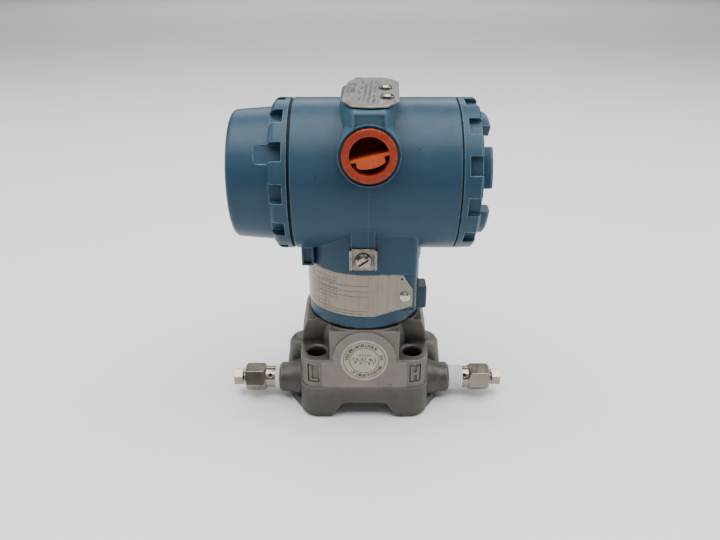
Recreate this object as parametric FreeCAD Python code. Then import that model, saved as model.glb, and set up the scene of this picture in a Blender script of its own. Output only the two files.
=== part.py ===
import FreeCAD, Part
import math
import os

from FreeCAD import Vector

# Differential pressure transmitter, coplanar flange type, in millimetres.
# Frame: the origin is the centre of the flange's underside, +Z is up, the front
# (conduit plug, nameplate, port marks) faces -Y and the display cover is at -X.

# ------------------------------------------------------------------ driving sizes
# Main sizes, from which the others follow
FLANGE_HALF_X = 37.0
FLANGE_HALF_Y = 32.4
FLANGE_H = 20.9
FLANGE_CORNER_R = 10.5
NECK_R = 31.1
NECK_BORE_R = NECK_R - 4.1
HOUSING_R = 39.5
HOUSING_LEFT_X = -36.3
HOUSING_RIGHT_X = 46.6

# Process flange casting
FLANGE_FOOT_ROUND = 3.0
FLANGE_TOP_ROUND = 0.7
ARCH_H = 10.8
ARCH_HALF_TOP = 12.5
ARCH_HALF_FOOT = 19.6
ARCH_ROUND = 4.0
SKIRT_H = 5.0
SKIRT_ROUND = 1.6
SKIRT_REACH = FLANGE_HALF_X + 7.5

# Bolt and port pattern: 54 mm port spacing, 41.3 mm across the bolts
PORT_HALF_SPACING = 27.0
BOLT_HALF_X = 27.0
BOLT_HALF_Y = 20.65
BOLT_R = 5.5
BOLT_TIP_Z = FLANGE_H + 9.1
BOLT_HEAD_R = 7.0
BOLT_HEAD_H = 6.4
BOLT_SOCKET_AF = 8.0
BOLT_SOCKET_DEPTH = 3.6
BOLT_HEAD_SEAT_Z = 8.0
BOLT_HOLE_CLEARANCE = 0.3
BOLT_HOLE_CHAMFER = 1.0
THREAD_CLEARANCE = 0.06
PORT_BORE_R = 5.56
PORT_DEPTH = 14.0
CHAMBER_PASSAGE_R = 2.6
CHAMBER_PASSAGE_X = 22.0

# Bracket lugs behind the vent bosses
BRACKET_HALF_SPACING = 35.7
BRACKET_Y = 8.5
BRACKET_HOLE_R = 3.97
BRACKET_HOLE_DEPTH = 16.0
LUG_FOOT_R = 13.4
LUG_SHOULDER_R = 10.2
LUG_SHOULDER_Z = FLANGE_H + 3.6
LUG_TOP_Z = LUG_SHOULDER_Z + 7.0

# Vent bosses and the drain and vent valves
VENT_Y = -8.0
VENT_Z = 12.0
VENT_FACE_X = FLANGE_HALF_X + 13.5
VENT_BOSS_R = 8.8
VENT_BOSS_ROOT_R = 11.2
VENT_BOSS_ROOT_X = FLANGE_HALF_X + 1.0
VENT_BOSS_NECK_X = FLANGE_HALF_X + 7.5
VENT_BOSS_ROUND = 1.2
VENT_THREAD_R = 6.1
VENT_THREAD_LENGTH = 14.5
VENT_BORE_DEPTH = 13.0
VENT_PASSAGE_R = 1.8
VENT_RISER_R = 1.5
VENT_BODY_R = 6.5
VENT_BODY_ROUND_LENGTH = 5.8
VENT_HEX_AF = 14.3
VENT_HEX_LENGTH = 12.1
VENT_HOLE_R = 1.2
VENT_HOLE_ALONG = 2.9
VENT_HOLE_TILT = 40.0
VENT_SEAT_R = 1.2
VENT_STEM_BORE_R = 3.4
LEFT_VENT_STANDOFF = 2.6
RIGHT_VENT_STANDOFF = 6.5
LEFT_TAPE_LENGTH = 2.5
RIGHT_TAPE_LENGTH = 8.4
TAPE_THICKNESS = 0.45
LEFT_HEX_TURN = 5.0
RIGHT_HEX_TURN = 14.0
BALL_R = 2.0
BALL_ALONG = -0.5
STEM_R = 3.3
STEM_THREAD_LENGTH = 14.6
STEM_NECK_R = 2.5
STEM_TIP_AF = 9.0
STEM_TIP_LENGTH = 5.0
STEM_TIP_ALONG = 19.8
STEM_END_GAP = 0.1

# Sensor module
MODULE_HALF_X = FLANGE_HALF_X - 1.0
MODULE_HALF_Y = FLANGE_HALF_Y - 0.8
MODULE_CORNER_R = FLANGE_CORNER_R - 1.0
MODULE_PLATE_H = 18.0
MODULE_LEDGE_Z = FLANGE_H + MODULE_PLATE_H
MODULE_EDGE_ROUND = 0.8
MODULE_FIT_CLEARANCE = 0.5
SHOULDER_Z = MODULE_LEDGE_Z + 15.3
SHOULDER_HALF_X = MODULE_HALF_X - 1.5
FLARE_FOOT_R = NECK_R + 8.0
FLARE_TOP_R = NECK_R + 5.4
RIM_R = NECK_R + 1.2
RIM_Z = SHOULDER_Z + 3.1
RIM_TOP_Z = RIM_Z + 1.0
ARM_HALF_X = 19.2
ARM_FACE_Y = MODULE_HALF_Y - 0.5
POCKET_FLOOR_Y = 10.9
POCKET_TOP_Y = 18.0
POCKET_ROUND = 3.0
PAD_R = 17.7
PAD_Z = MODULE_LEDGE_Z + 0.6
PAD_SHOULDER_DROP = 12.0
STUB_R = NECK_BORE_R - 0.3
STUB_TOP_Z = RIM_TOP_Z + 27.7
STUB_BORE_R = STUB_R - 6.7
SENSOR_FLOOR_Z = FLANGE_H + 5.1
SENSOR_CAPSULE_R = STUB_BORE_R - 1.0
SENSOR_CAPSULE_H = 30.0
SENSOR_BOARD_R = STUB_BORE_R + 1.6
SENSOR_BOARD_Z = STUB_TOP_Z - 6.0
SENSOR_LEDGE_CLEARANCE = 0.2
BOARD_THICKNESS = 1.6
DIAPHRAGM_X = 16.0
DIAPHRAGM_R = 12.5
DIAPHRAGM_THICKNESS = 0.3
DIAPHRAGM_RECESS = 0.8
PROCESS_SEAL_INNER_R = DIAPHRAGM_R + 0.9
PROCESS_SEAL_OUTER_R = PROCESS_SEAL_INNER_R + 1.8
PROCESS_SEAL_H = 1.7
SEAL_CLEARANCE = 0.1

# Label and sticker on the front of the module
LABEL_HALF_X = 24.0
LABEL_BASE_Z = FLANGE_H + 0.1
LABEL_TOP_Z = MODULE_LEDGE_Z - 0.7
LABEL_THICKNESS = 0.3
STICKER_R = 13.1
STICKER_Z = PAD_Z - 0.3
STICKER_THICKNESS = 0.2

# Low and high pressure marks cast in the front corners of the module
MARK_X = 28.6
MARK_HALF_X = 3.3
MARK_FOOT_Z = FLANGE_H + 3.5
MARK_TOP_Z = MARK_FOOT_Z + 11.5
MARK_DEPTH = 0.9
MARK_MARGIN = 0.9
MARK_STROKE = 1.3

# Housing casting
NECK_FOOT_Z = RIM_TOP_Z + 1.4
COLLAR_Z = NECK_FOOT_Z + 32.3
AXIS_Z = NECK_FOOT_Z + 77.2
HOUSING_EDGE = 0.5
COVER_THREAD_BORE_R = HOUSING_R - 3.6
COVER_THREAD_BORE_DEPTH = 12.0
COMPARTMENT_R = COVER_THREAD_BORE_R - 1.5
BULKHEAD_LEFT_X = -14.5
BULKHEAD_RIGHT_X = BULKHEAD_LEFT_X + 4.5
NECK_SEAL_GAP = 0.1
NECK_BORE_TOP_Z = COLLAR_Z - 1.0
COLLAR_R = NECK_R + 0.7
PLATE_PAD_X = NECK_R - 3.5
PLATE_PAD_ROUND = 3.5
PLATE_PAD_LOW_Z = NECK_FOOT_Z + 6.9
PLATE_PAD_SLOPE_X = 5.0
PLATE_PAD_SLOPE_RISE = 6.6
PLATE_PAD_BACK_Y = -15.0
PLATE_PAD_BACK_DROP = 12.0
WIREWAY_R = 5.0
WIREWAY_X = -20.5

# Saddle on top and the two conduit entries
CONDUIT_X = 1.8
CONDUIT_Z = AXIS_Z + 22.3
CONDUIT_FACE_Y = HOUSING_R + 8.5
CONDUIT_BOSS_R = 14.7
CONDUIT_BOSS_EDGE = 0.5
CONDUIT_SINK_R = CONDUIT_BOSS_R - 0.6
CONDUIT_SINK_DEPTH = 1.4
CONDUIT_BORE_R = 10.4
SADDLE_TOP_Z = AXIS_Z + HOUSING_R + 3.1
SADDLE_HALF_X = 14.0
SADDLE_NOSE_HALF_X = 7.6
SADDLE_CORNER_Y = CONDUIT_FACE_Y - 29.0
SADDLE_ROUND = 2.4
SADDLE_RECESS_HALF_X = 6.6
SADDLE_RECESS_TOP_Z = SADDLE_TOP_Z - 1.6
SADDLE_RECESS_DEPTH = 1.0

# Small bosses of the housing
GROUND_X = -0.8
GROUND_Z = COLLAR_Z + 9.4
GROUND_BOSS_HALF_X = 6.0
GROUND_BOSS_FACE_Y = -COLLAR_R - 2.5
GROUND_BOSS_FOOT_Z = GROUND_Z - 4.9
GROUND_BOSS_TOP_Z = GROUND_Z + 16.6
JAM_LUG_X = 0.8 - NECK_R
JAM_LUG_HALF_X = 3.2
JAM_LUG_FRONT_Y = -20.0
JAM_LUG_BACK_Y = -6.0
JAM_LUG_FOOT_Z = COLLAR_Z - 0.1
JAM_LUG_TOP_Z = COLLAR_Z + 12.0
JAM_RECESS_MARGIN = 1.1
JAM_RECESS_DEPTH = 1.8
SET_BOSS_FACE_X = NECK_R + 3.8
SET_BOSS_HALF_Y = 5.5
SET_BOSS_Y = -9.0
SET_BOSS_FOOT_Z = NECK_FOOT_Z + 3.3
SET_BOSS_TOP_Z = SET_BOSS_FOOT_Z + 13.2
SET_BOSS_ROUND = 1.5
SET_SCREW_R = 2.2
SET_SCREW_SINK = 0.6
SET_SCREW_END_GAP = 0.3

# Covers
COVER_GAP_LEFT = 1.3
COVER_GAP_RIGHT = 0.6
COVER_SKIRT_R = COVER_THREAD_BORE_R - 0.3
COVER_SKIRT_LENGTH = 10.0
COVER_BORE_R = COVER_SKIRT_R - 4.6
SEAL_GROOVE_DEPTH = 1.3
SEAL_INNER_R = HOUSING_R - 3.2
SEAL_OUTER_R = HOUSING_R - 0.6
NOTCH_COUNT = 12
NOTCH_WIDTH = 9.6
DISPLAY_RING_LENGTH = 9.3
DISPLAY_RING_ROUND = 3.9
DISPLAY_BAND = 2.4
DISPLAY_NOTCH_PHASE = 2.0
DISPLAY_NOTCH_FLOOR_R = HOUSING_R - 4.5
DISPLAY_BARREL_ROOT_R = HOUSING_R - 4.6
DISPLAY_BARREL_END_R = DISPLAY_BARREL_ROOT_R - 1.4
DISPLAY_END_X = HOUSING_LEFT_X - 32.0
DISPLAY_END_ROUND = 3.0
DISPLAY_FLAT_PHASE = 32.0
DISPLAY_FLAT_END_X = HOUSING_LEFT_X - 17.7
DISPLAY_FLAT_FLOOR_R = DISPLAY_BARREL_ROOT_R - 1.5
DISPLAY_FLAT_END_R = DISPLAY_BARREL_ROOT_R - 0.8
WINDOW_WALL = 3.5
GLASS_R = COVER_BORE_R - 2.7
WINDOW_R = GLASS_R - 4.3
GLASS_THICKNESS = 6.0
GLASS_BORE_R = GLASS_R + 0.2
GASKET_THICKNESS = 1.2
WINDOW_RING_LENGTH = 3.0
TERMINAL_RING_LENGTH = 9.6
TERMINAL_BAND = 2.9
TERMINAL_NOTCH_PHASE = 22.0
TERMINAL_NOTCH_FLOOR_R = HOUSING_R - 2.9
TERMINAL_RING_EDGE = 1.2
TERMINAL_WALL = 4.0
CROWN_COUNT = 6
CROWN_OUTER_R = HOUSING_R - 7.5
CROWN_INNER_R = CROWN_OUTER_R - 7.5
CROWN_TALL = 5.6
CROWN_GAP = 12.6
CROWN_EDGE = 1.0

# Conduit plugs
PLUG_RIM_R = CONDUIT_SINK_R - 1.3
PLUG_RIM_LENGTH = 2.6
PLUG_RIM_EDGE = 0.5
PLUG_STAND = 0.5
PLUG_BODY_R = CONDUIT_BORE_R - 0.1
PLUG_LENGTH = 15.0
PLUG_BORE_R = PLUG_BODY_R - 1.0
PLUG_FLOOR = 1.6
PLUG_WEB_THICKNESS = 1.5
PLUG_WEB_SINK = 1.2
PLUG_GRIP_HALF_X = 6.7
PLUG_GRIP_DROP = 4.4
PLUG_GRIP_BELLY = 1.5
PLUG_GRIP_EDGE = 0.5
PLUG_TILT = 13.5

# Nameplate round the neck
NAMEPLATE_GAP = 0.1
NAMEPLATE_THICKNESS = 0.5
NAMEPLATE_TOP_Z = COLLAR_Z - 0.3
NAMEPLATE_LOW_Z = PLATE_PAD_LOW_Z + 0.4
NAMEPLATE_END_X = PLATE_PAD_X - 2.4
NAMEPLATE_WRAP = 120.0
NAMEPLATE_TOP_CUT = 5.0
NAMEPLATE_SIDE_CUT = 8.0
NAMEPLATE_HOLE_X = NAMEPLATE_END_X - 5.6
NAMEPLATE_HOLE_Z = NAMEPLATE_TOP_Z - 2.3
NAMEPLATE_HOLE_R = 0.7
RIVET_X = NAMEPLATE_END_X - 3.8
RIVET_Z = NAMEPLATE_LOW_Z + 12.2
RIVET_HEAD_R = 2.8
RIVET_HEAD_H = 1.3
RIVET_SHANK_R = 1.2
RIVET_SHANK_LENGTH = 3.0
RIVET_WRAP_MARGIN = 6.0

# Tag plate on the saddle
TAG_HALF_X = 13.6
TAG_HALF_Y = 40.5
TAG_SHOULDER_Y = TAG_HALF_Y - 13.5
TAG_NOSE_HALF_X = TAG_HALF_X - 5.0
TAG_NOSE_Y = TAG_HALF_Y - 3.5
TAG_TURN = -2.7
TAG_CENTRE_X = 3.6
TAG_CENTRE_Y = -4.2
TAG_THICKNESS = 0.8
TAG_STAND = 0.7
TAG_PAD_R = 3.4
TAG_SCREW_X = 10.5
TAG_SCREW_FRONT_Y = -23.5
TAG_SCREW_BACK_Y = 1.2
TAG_SCREW_R = 1.5
TAG_SCREW_HEAD_R = 3.3
TAG_SCREW_HEAD_H = 2.0
TAG_SCREW_LENGTH = 6.0

# Ground clamp and its screw
CLAMP_HALF_X = GROUND_BOSS_HALF_X + 1.0
CLAMP_TOP_Z = GROUND_Z + 6.6
CLAMP_FOOT_Z = GROUND_Z - 5.0
CLAMP_THICKNESS = 1.1
CLAMP_EAR = 2.4
CLAMP_CORNER = 2.6
GROUND_SCREW_R = 2.4
GROUND_SCREW_HEAD_R = 4.3
GROUND_SCREW_HEAD_H = 2.3
GROUND_SCREW_LENGTH = 9.0
SCREW_SLOT_WIDTH = 1.1
SCREW_SLOT_DEPTH = 1.1
SCREW_DOME_START = 0.55
SCREW_DOME_SHARE = 0.62
GROUND_SLOT_TURN = 35.0

# Inside the housing
BOARD_R = COMPARTMENT_R - 3.4
BOARD_X = BULKHEAD_LEFT_X - 6.4
POST_R = 3.0
POST_RING_R = BOARD_R - 4.0
POST_COUNT = 3
SMALL_SCREW_R = 1.25
SMALL_SCREW_HEAD_R = 2.6
SMALL_SCREW_HEAD_H = 1.8
SMALL_SCREW_LENGTH = 5.0
DISPLAY_BODY_R = COVER_BORE_R - 2.5
DISPLAY_HUB_R = DISPLAY_BODY_R - 11.5
DISPLAY_BODY_BACK_X = HOUSING_LEFT_X + 2.3
DISPLAY_BODY_FACE_X = HOUSING_LEFT_X - 16.1
DISPLAY_EDGE = 1.2
LCD_HALF_Y = DISPLAY_BODY_R - 8.5
LCD_HALF_Z = LCD_HALF_Y * 0.55
LCD_THICKNESS = 1.4
TERMINAL_BLOCK_R = COMPARTMENT_R - 2.9
TERMINAL_BLOCK_LENGTH = 18.0
TERMINAL_BLOCK_RISE = 9.0
TERMINAL_COUNT = 3
TERMINAL_PITCH = 13.0
TERMINAL_Z = AXIS_Z - 8.9
TERMINAL_WELL_HALF = 5.0
TERMINAL_WELL_DEPTH = 6.0
TERMINAL_SCREW_R = 1.9
TERMINAL_SCREW_HEAD_R = 3.3
TERMINAL_SCREW_HEAD_H = 2.4
BLOCK_SCREW_HALF_Y = TERMINAL_BLOCK_R - 7.0
BLOCK_SCREW_BITE = 3.5

CUT_OVER = 1.0

X_AXIS = Vector(1, 0, 0)
Y_AXIS = Vector(0, 1, 0)
Z_AXIS = Vector(0, 0, 1)
SIDES = {"left": -1, "right": 1}
STANDOFFS = {"left": LEFT_VENT_STANDOFF, "right": RIGHT_VENT_STANDOFF}
TAPE_LENGTHS = {"left": LEFT_TAPE_LENGTH, "right": RIGHT_TAPE_LENGTH}
HEX_TURNS = {"left": LEFT_HEX_TURN, "right": RIGHT_HEX_TURN}
HOUSING_AXIS = Vector(0, 0, AXIS_Z)
LABEL_FACE_Y = -MODULE_HALF_Y - LABEL_THICKNESS
DISPLAY_FACE_X = HOUSING_LEFT_X - COVER_GAP_LEFT
TERMINAL_FACE_X = HOUSING_RIGHT_X + COVER_GAP_RIGHT
TERMINAL_END_X = TERMINAL_FACE_X + TERMINAL_RING_LENGTH
TAG_UNDERSIDE_Z = SADDLE_TOP_Z + TAG_STAND
CLAMP_FACE_Y = GROUND_BOSS_FACE_Y - CLAMP_THICKNESS


# ------------------------------------------------------------------ shape helpers
def block(x0, x1, y0, y1, z0, z1):
    """Box between two corners."""
    return Part.makeBox(x1 - x0, y1 - y0, z1 - z0, Vector(x0, y0, z0))


def rod(radius, start, end):
    """Cylinder from one point to another."""
    axis = end.sub(start)
    return Part.makeCylinder(radius, axis.Length, start, axis)


def tube(inner, outer, start, end):
    """Ring between two radii, from one point to another."""
    return rod(outer, start, end).cut(rod(inner, start, end))


def turned(profile, origin, axis, across):
    """Solid of revolution of (distance along the axis, radius) pairs."""
    points = [origin + axis * along + across * radius for along, radius in profile]
    face = Part.Face(Part.makePolygon(points + points[:1]))
    return face.revolve(origin, axis, 360)


def prism(points, depth):
    """Solid that a closed flat outline sweeps along the vector depth."""
    return Part.Face(Part.makePolygon(points + points[:1])).extrude(depth)


def rounded_block(half_x, half_y, corner, z0, z1):
    """Upright block on the Z axis with round vertical corners."""
    solid = block(-half_x, half_x, -half_y, half_y, z0, z1)
    upright = [edge for edge in solid.Edges if abs(edge.tangentAt(edge.FirstParameter).z) > 0.5]
    return solid.makeFillet(corner, upright)


def edges_at(solid, low, high):
    """Edges of a solid that lie wholly inside the box between two corners."""
    box = FreeCAD.BoundBox(low, high)
    return [edge for edge in solid.Edges if box.isInside(edge.BoundBox)]


def level_edges(solid, z):
    """Edges of a solid that lie in the level plane at height z."""
    reach = 1000.0
    slack = 0.01
    return edges_at(solid, Vector(-reach, -reach, z - slack), Vector(reach, reach, z + slack))


def hexagon(across_flats, start, axis, across, turn):
    """Hexagonal bar from start along the vector axis, turned by an angle in degrees."""
    corner_r = across_flats / math.sqrt(3)
    other = axis.cross(across).normalize()
    points = []
    for step in range(6):
        angle = math.radians(turn + 60 * step)
        points.append(start + across * (corner_r * math.cos(angle)) + other * (corner_r * math.sin(angle)))
    return prism(points, axis)


def four_corners(solid):
    """A solid and its mirror images across both upright planes, as a list."""
    right = [solid, solid.mirror(Vector(0, 0, 0), Y_AXIS)]
    return right + [piece.mirror(Vector(0, 0, 0), X_AXIS) for piece in right]


def spun(solid, angle):
    """A solid turned about the housing's axis."""
    copy = solid.copy()
    copy.rotate(HOUSING_AXIS, X_AXIS, angle)
    return copy


def joined(first, *others):
    """One clean solid out of touching ones."""
    return first.fuse(list(others)).removeSplitter()


def slotted_head(radius, height, base, axis, across, turn):
    """Low domed screw head with a slot, standing on base along axis."""
    head = turned([(0, 0), (0, radius), (height * SCREW_DOME_START, radius),
                   (height, radius * SCREW_DOME_SHARE), (height, 0)], base, axis, across)
    slot = block(-radius - CUT_OVER, radius + CUT_OVER, -SCREW_SLOT_WIDTH / 2, SCREW_SLOT_WIDTH / 2,
                 0, height)
    slot.rotate(Vector(0, 0, 0), Z_AXIS, turn)
    slot.Placement = FreeCAD.Placement(base + axis * (height - SCREW_SLOT_DEPTH),
                                       FreeCAD.Rotation(Z_AXIS, axis)).multiply(slot.Placement)
    return head.cut(slot)


# ------------------------------------------------------------------ process flange
def flange_skirt():
    """Low rail that carries the vent bosses and bracket lugs down to the floor."""
    column_x = FLANGE_HALF_X - FLANGE_CORNER_R
    points = [Vector(column_x, -FLANGE_HALF_Y + SKIRT_ROUND, 0),
              Vector(FLANGE_HALF_X - SKIRT_ROUND, -BOLT_HALF_Y - FLANGE_CORNER_R / 2, 0),
              Vector(SKIRT_REACH - SKIRT_ROUND, VENT_Y - VENT_BOSS_R + 2 * SKIRT_ROUND, 0),
              Vector(SKIRT_REACH, VENT_Y, 0),
              Vector(SKIRT_REACH, BRACKET_Y, 0),
              Vector(FLANGE_HALF_X, BOLT_HALF_Y, 0),
              Vector(column_x, BOLT_HALF_Y, 0)]
    skirt = prism(points, Vector(0, 0, SKIRT_H))
    return skirt.makeFillet(SKIRT_ROUND, level_edges(skirt, SKIRT_H) + level_edges(skirt, 0))


def flange_vent_boss():
    """Boss along X that takes the vent valve's tapered thread."""
    inner_x = PORT_HALF_SPACING
    profile = [(inner_x, 0), (inner_x, VENT_BOSS_ROOT_R), (VENT_BOSS_ROOT_X, VENT_BOSS_ROOT_R),
               (VENT_BOSS_NECK_X, VENT_BOSS_R), (VENT_FACE_X - VENT_BOSS_ROUND, VENT_BOSS_R),
               (VENT_FACE_X, VENT_BOSS_R - VENT_BOSS_ROUND), (VENT_FACE_X, 0)]
    return turned(profile, Vector(0, VENT_Y, VENT_Z), X_AXIS, Z_AXIS)


def flange_bracket_lug():
    """Tapered upright lug with a domed top."""
    base = Vector(BRACKET_HALF_SPACING, BRACKET_Y, 0)
    body = turned([(0, 0), (0, LUG_FOOT_R), (LUG_SHOULDER_Z, LUG_SHOULDER_R), (LUG_TOP_Z, LUG_SHOULDER_R),
                   (LUG_TOP_Z, 0)], base, Z_AXIS, X_AXIS)
    dome_round = LUG_TOP_Z - LUG_SHOULDER_Z
    return body.makeFillet(dome_round - CUT_OVER, level_edges(body, LUG_TOP_Z))


def flange_side_bores():
    """Port, vent, passage and bracket holes of the right-hand side."""
    port = rod(PORT_BORE_R, Vector(PORT_HALF_SPACING, 0, -CUT_OVER), Vector(PORT_HALF_SPACING, 0, PORT_DEPTH))
    passage = rod(CHAMBER_PASSAGE_R, Vector(CHAMBER_PASSAGE_X, 0, PORT_DEPTH - CHAMBER_PASSAGE_R),
                  Vector(CHAMBER_PASSAGE_X, 0, FLANGE_H + CUT_OVER))
    bracket = rod(BRACKET_HOLE_R, Vector(BRACKET_HALF_SPACING, BRACKET_Y, -CUT_OVER),
                  Vector(BRACKET_HALF_SPACING, BRACKET_Y, BRACKET_HOLE_DEPTH))
    vent = rod(VENT_THREAD_R + THREAD_CLEARANCE, Vector(VENT_FACE_X - VENT_BORE_DEPTH, VENT_Y, VENT_Z),
               Vector(VENT_FACE_X + CUT_OVER, VENT_Y, VENT_Z))
    vent_passage = rod(VENT_PASSAGE_R, Vector(CHAMBER_PASSAGE_X - VENT_PASSAGE_R, VENT_Y, VENT_Z),
                       Vector(VENT_FACE_X, VENT_Y, VENT_Z))
    vent_riser = rod(VENT_RISER_R, Vector(CHAMBER_PASSAGE_X, VENT_Y, VENT_Z),
                     Vector(CHAMBER_PASSAGE_X, VENT_Y, FLANGE_H + CUT_OVER))
    return [port, passage, bracket, vent, vent_passage, vent_riser]


def flange_bolt_bores():
    """Counterbored bolt holes in the four corner columns."""
    hole = rod(BOLT_R + BOLT_HOLE_CLEARANCE, Vector(BOLT_HALF_X, BOLT_HALF_Y, -CUT_OVER),
               Vector(BOLT_HALF_X, BOLT_HALF_Y, FLANGE_H + CUT_OVER))
    counterbore = rod(BOLT_HEAD_R + BOLT_HOLE_CLEARANCE, Vector(BOLT_HALF_X, BOLT_HALF_Y, -CUT_OVER),
                      Vector(BOLT_HALF_X, BOLT_HALF_Y, BOLT_HEAD_SEAT_Z))
    return four_corners(hole) + four_corners(counterbore)


def flange_arch():
    """Tunnel from front to back between the feet."""
    reach = FLANGE_HALF_Y + CUT_OVER
    drop = CUT_OVER
    slope = (ARCH_HALF_FOOT - ARCH_HALF_TOP) / ARCH_H
    foot = ARCH_HALF_FOOT + slope * drop
    points = [Vector(-foot, -reach, -drop), Vector(-ARCH_HALF_TOP, -reach, ARCH_H),
              Vector(ARCH_HALF_TOP, -reach, ARCH_H), Vector(foot, -reach, -drop)]
    tunnel = prism(points, Vector(0, 2 * reach, 0))
    top = [edge for edge in level_edges(tunnel, ARCH_H) if edge.Length > reach]
    return tunnel.makeFillet(ARCH_ROUND, top)


def make_process_flange():
    body = rounded_block(FLANGE_HALF_X, FLANGE_HALF_Y, FLANGE_CORNER_R, 0, FLANGE_H)
    body = body.makeFillet(FLANGE_FOOT_ROUND, level_edges(body, 0))
    body = body.makeFillet(FLANGE_TOP_ROUND, level_edges(body, FLANGE_H))
    module_space = rounded_block(MODULE_HALF_X + MODULE_FIT_CLEARANCE, MODULE_HALF_Y + MODULE_FIT_CLEARANCE,
                                 MODULE_CORNER_R, FLANGE_H, LUG_TOP_Z + CUT_OVER)
    bosses = flange_vent_boss().fuse([flange_bracket_lug(), flange_skirt()]).cut(module_space)
    body = body.fuse([bosses, bosses.mirror(Vector(0, 0, 0), X_AXIS)])
    body = body.cut(flange_arch())
    bores = flange_side_bores()
    bores += [bore.mirror(Vector(0, 0, 0), X_AXIS) for bore in bores]
    return body.cut(bores + flange_bolt_bores()).removeSplitter()


def make_flange_bolts():
    base = Vector(BOLT_HALF_X, BOLT_HALF_Y, BOLT_HEAD_SEAT_Z)
    head = rod(BOLT_HEAD_R, base - Z_AXIS * BOLT_HEAD_H, base)
    socket = hexagon(BOLT_SOCKET_AF, base - Z_AXIS * BOLT_HEAD_H, Z_AXIS * BOLT_SOCKET_DEPTH, X_AXIS, 0)
    shank = rod(BOLT_R, base, Vector(BOLT_HALF_X, BOLT_HALF_Y, BOLT_TIP_Z))
    bolt = joined(head.cut(socket), shank)
    return Part.makeCompound(four_corners(bolt))


# ------------------------------------------------------------------ drain and vent valves
def vent_point(side, along):
    """Point on a vent valve's axis, at a distance outward from its thread's end."""
    return Vector(SIDES[side] * (VENT_FACE_X + STANDOFFS[side] + along), VENT_Y, VENT_Z)


def make_vent_body(side):
    """Valve seat: tapered thread, round part with the vent hole, and hexagon."""
    outward = X_AXIS * SIDES[side]
    hex_start = VENT_BODY_ROUND_LENGTH
    hex_end = hex_start + VENT_HEX_LENGTH
    thread = rod(VENT_THREAD_R, vent_point(side, -VENT_THREAD_LENGTH), vent_point(side, 0))
    barrel = rod(VENT_BODY_R, vent_point(side, 0), vent_point(side, hex_start))
    hexagonal = hexagon(VENT_HEX_AF, vent_point(side, hex_start), outward * VENT_HEX_LENGTH, Z_AXIS,
                        30 + HEX_TURNS[side] * SIDES[side])
    crown_r = VENT_HEX_AF / math.sqrt(3)
    edge = crown_r - VENT_HEX_AF / 2
    crown = turned([(0, 0), (0, crown_r - edge), (edge, crown_r), (VENT_HEX_LENGTH - edge, crown_r),
                    (VENT_HEX_LENGTH, crown_r - edge), (VENT_HEX_LENGTH, 0)],
                   vent_point(side, hex_start), outward, Z_AXIS)
    body = joined(thread, barrel, hexagonal.common(crown))
    seat_bore = rod(VENT_SEAT_R, vent_point(side, -VENT_THREAD_LENGTH - CUT_OVER), vent_point(side, 0))
    seat_cone = Part.makeCone(VENT_SEAT_R, VENT_STEM_BORE_R, VENT_STEM_BORE_R - VENT_SEAT_R,
                              vent_point(side, VENT_SEAT_R - VENT_STEM_BORE_R), outward)
    stem_bore = rod(VENT_STEM_BORE_R, vent_point(side, 0), vent_point(side, hex_end + CUT_OVER))
    tilt = math.radians(VENT_HOLE_TILT)
    hole_start = vent_point(side, VENT_HOLE_ALONG)
    hole_way = Vector(0, -math.cos(tilt), math.sin(tilt)) * (VENT_BODY_R + CUT_OVER)
    hole = rod(VENT_HOLE_R, hole_start, hole_start + hole_way)
    return body.cut([seat_bore, seat_cone, stem_bore, hole])


def make_thread_tape(side):
    """White sealing tape wound on the visible end of the thread."""
    overlap = TAPE_LENGTHS[side] - STANDOFFS[side]
    along = [-STANDOFFS[side] + SEAL_CLEARANCE, overlap]
    thread_in = VENT_THREAD_R + THREAD_CLEARANCE
    body_in = VENT_BODY_R + THREAD_CLEARANCE
    outer = body_in + TAPE_THICKNESS
    profile = [(along[0], thread_in), (along[0], outer - TAPE_THICKNESS / 2),
               (along[0] + TAPE_THICKNESS, outer), (along[1], outer)]
    if overlap > 0:
        profile += [(along[1], body_in), (-THREAD_CLEARANCE, body_in), (-THREAD_CLEARANCE, thread_in)]
    else:
        profile += [(along[1], thread_in)]
    return turned(profile, vent_point(side, 0), X_AXIS * SIDES[side], Z_AXIS)


def make_vent_ball(side):
    return Part.makeSphere(BALL_R, vent_point(side, BALL_ALONG))


def make_vent_stem(side):
    """Screwed stem that presses the ball on its seat, with a small hexagonal head."""
    inner_end = BALL_ALONG + BALL_R + STEM_END_GAP
    thread_end = inner_end + STEM_THREAD_LENGTH
    outward = X_AXIS * SIDES[side]
    thread = rod(STEM_R, vent_point(side, inner_end), vent_point(side, thread_end))
    neck = rod(STEM_NECK_R, vent_point(side, thread_end), vent_point(side, STEM_TIP_ALONG))
    tip = hexagon(STEM_TIP_AF, vent_point(side, STEM_TIP_ALONG), outward * STEM_TIP_LENGTH, Z_AXIS, 0)
    return joined(thread, neck, tip)


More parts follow.
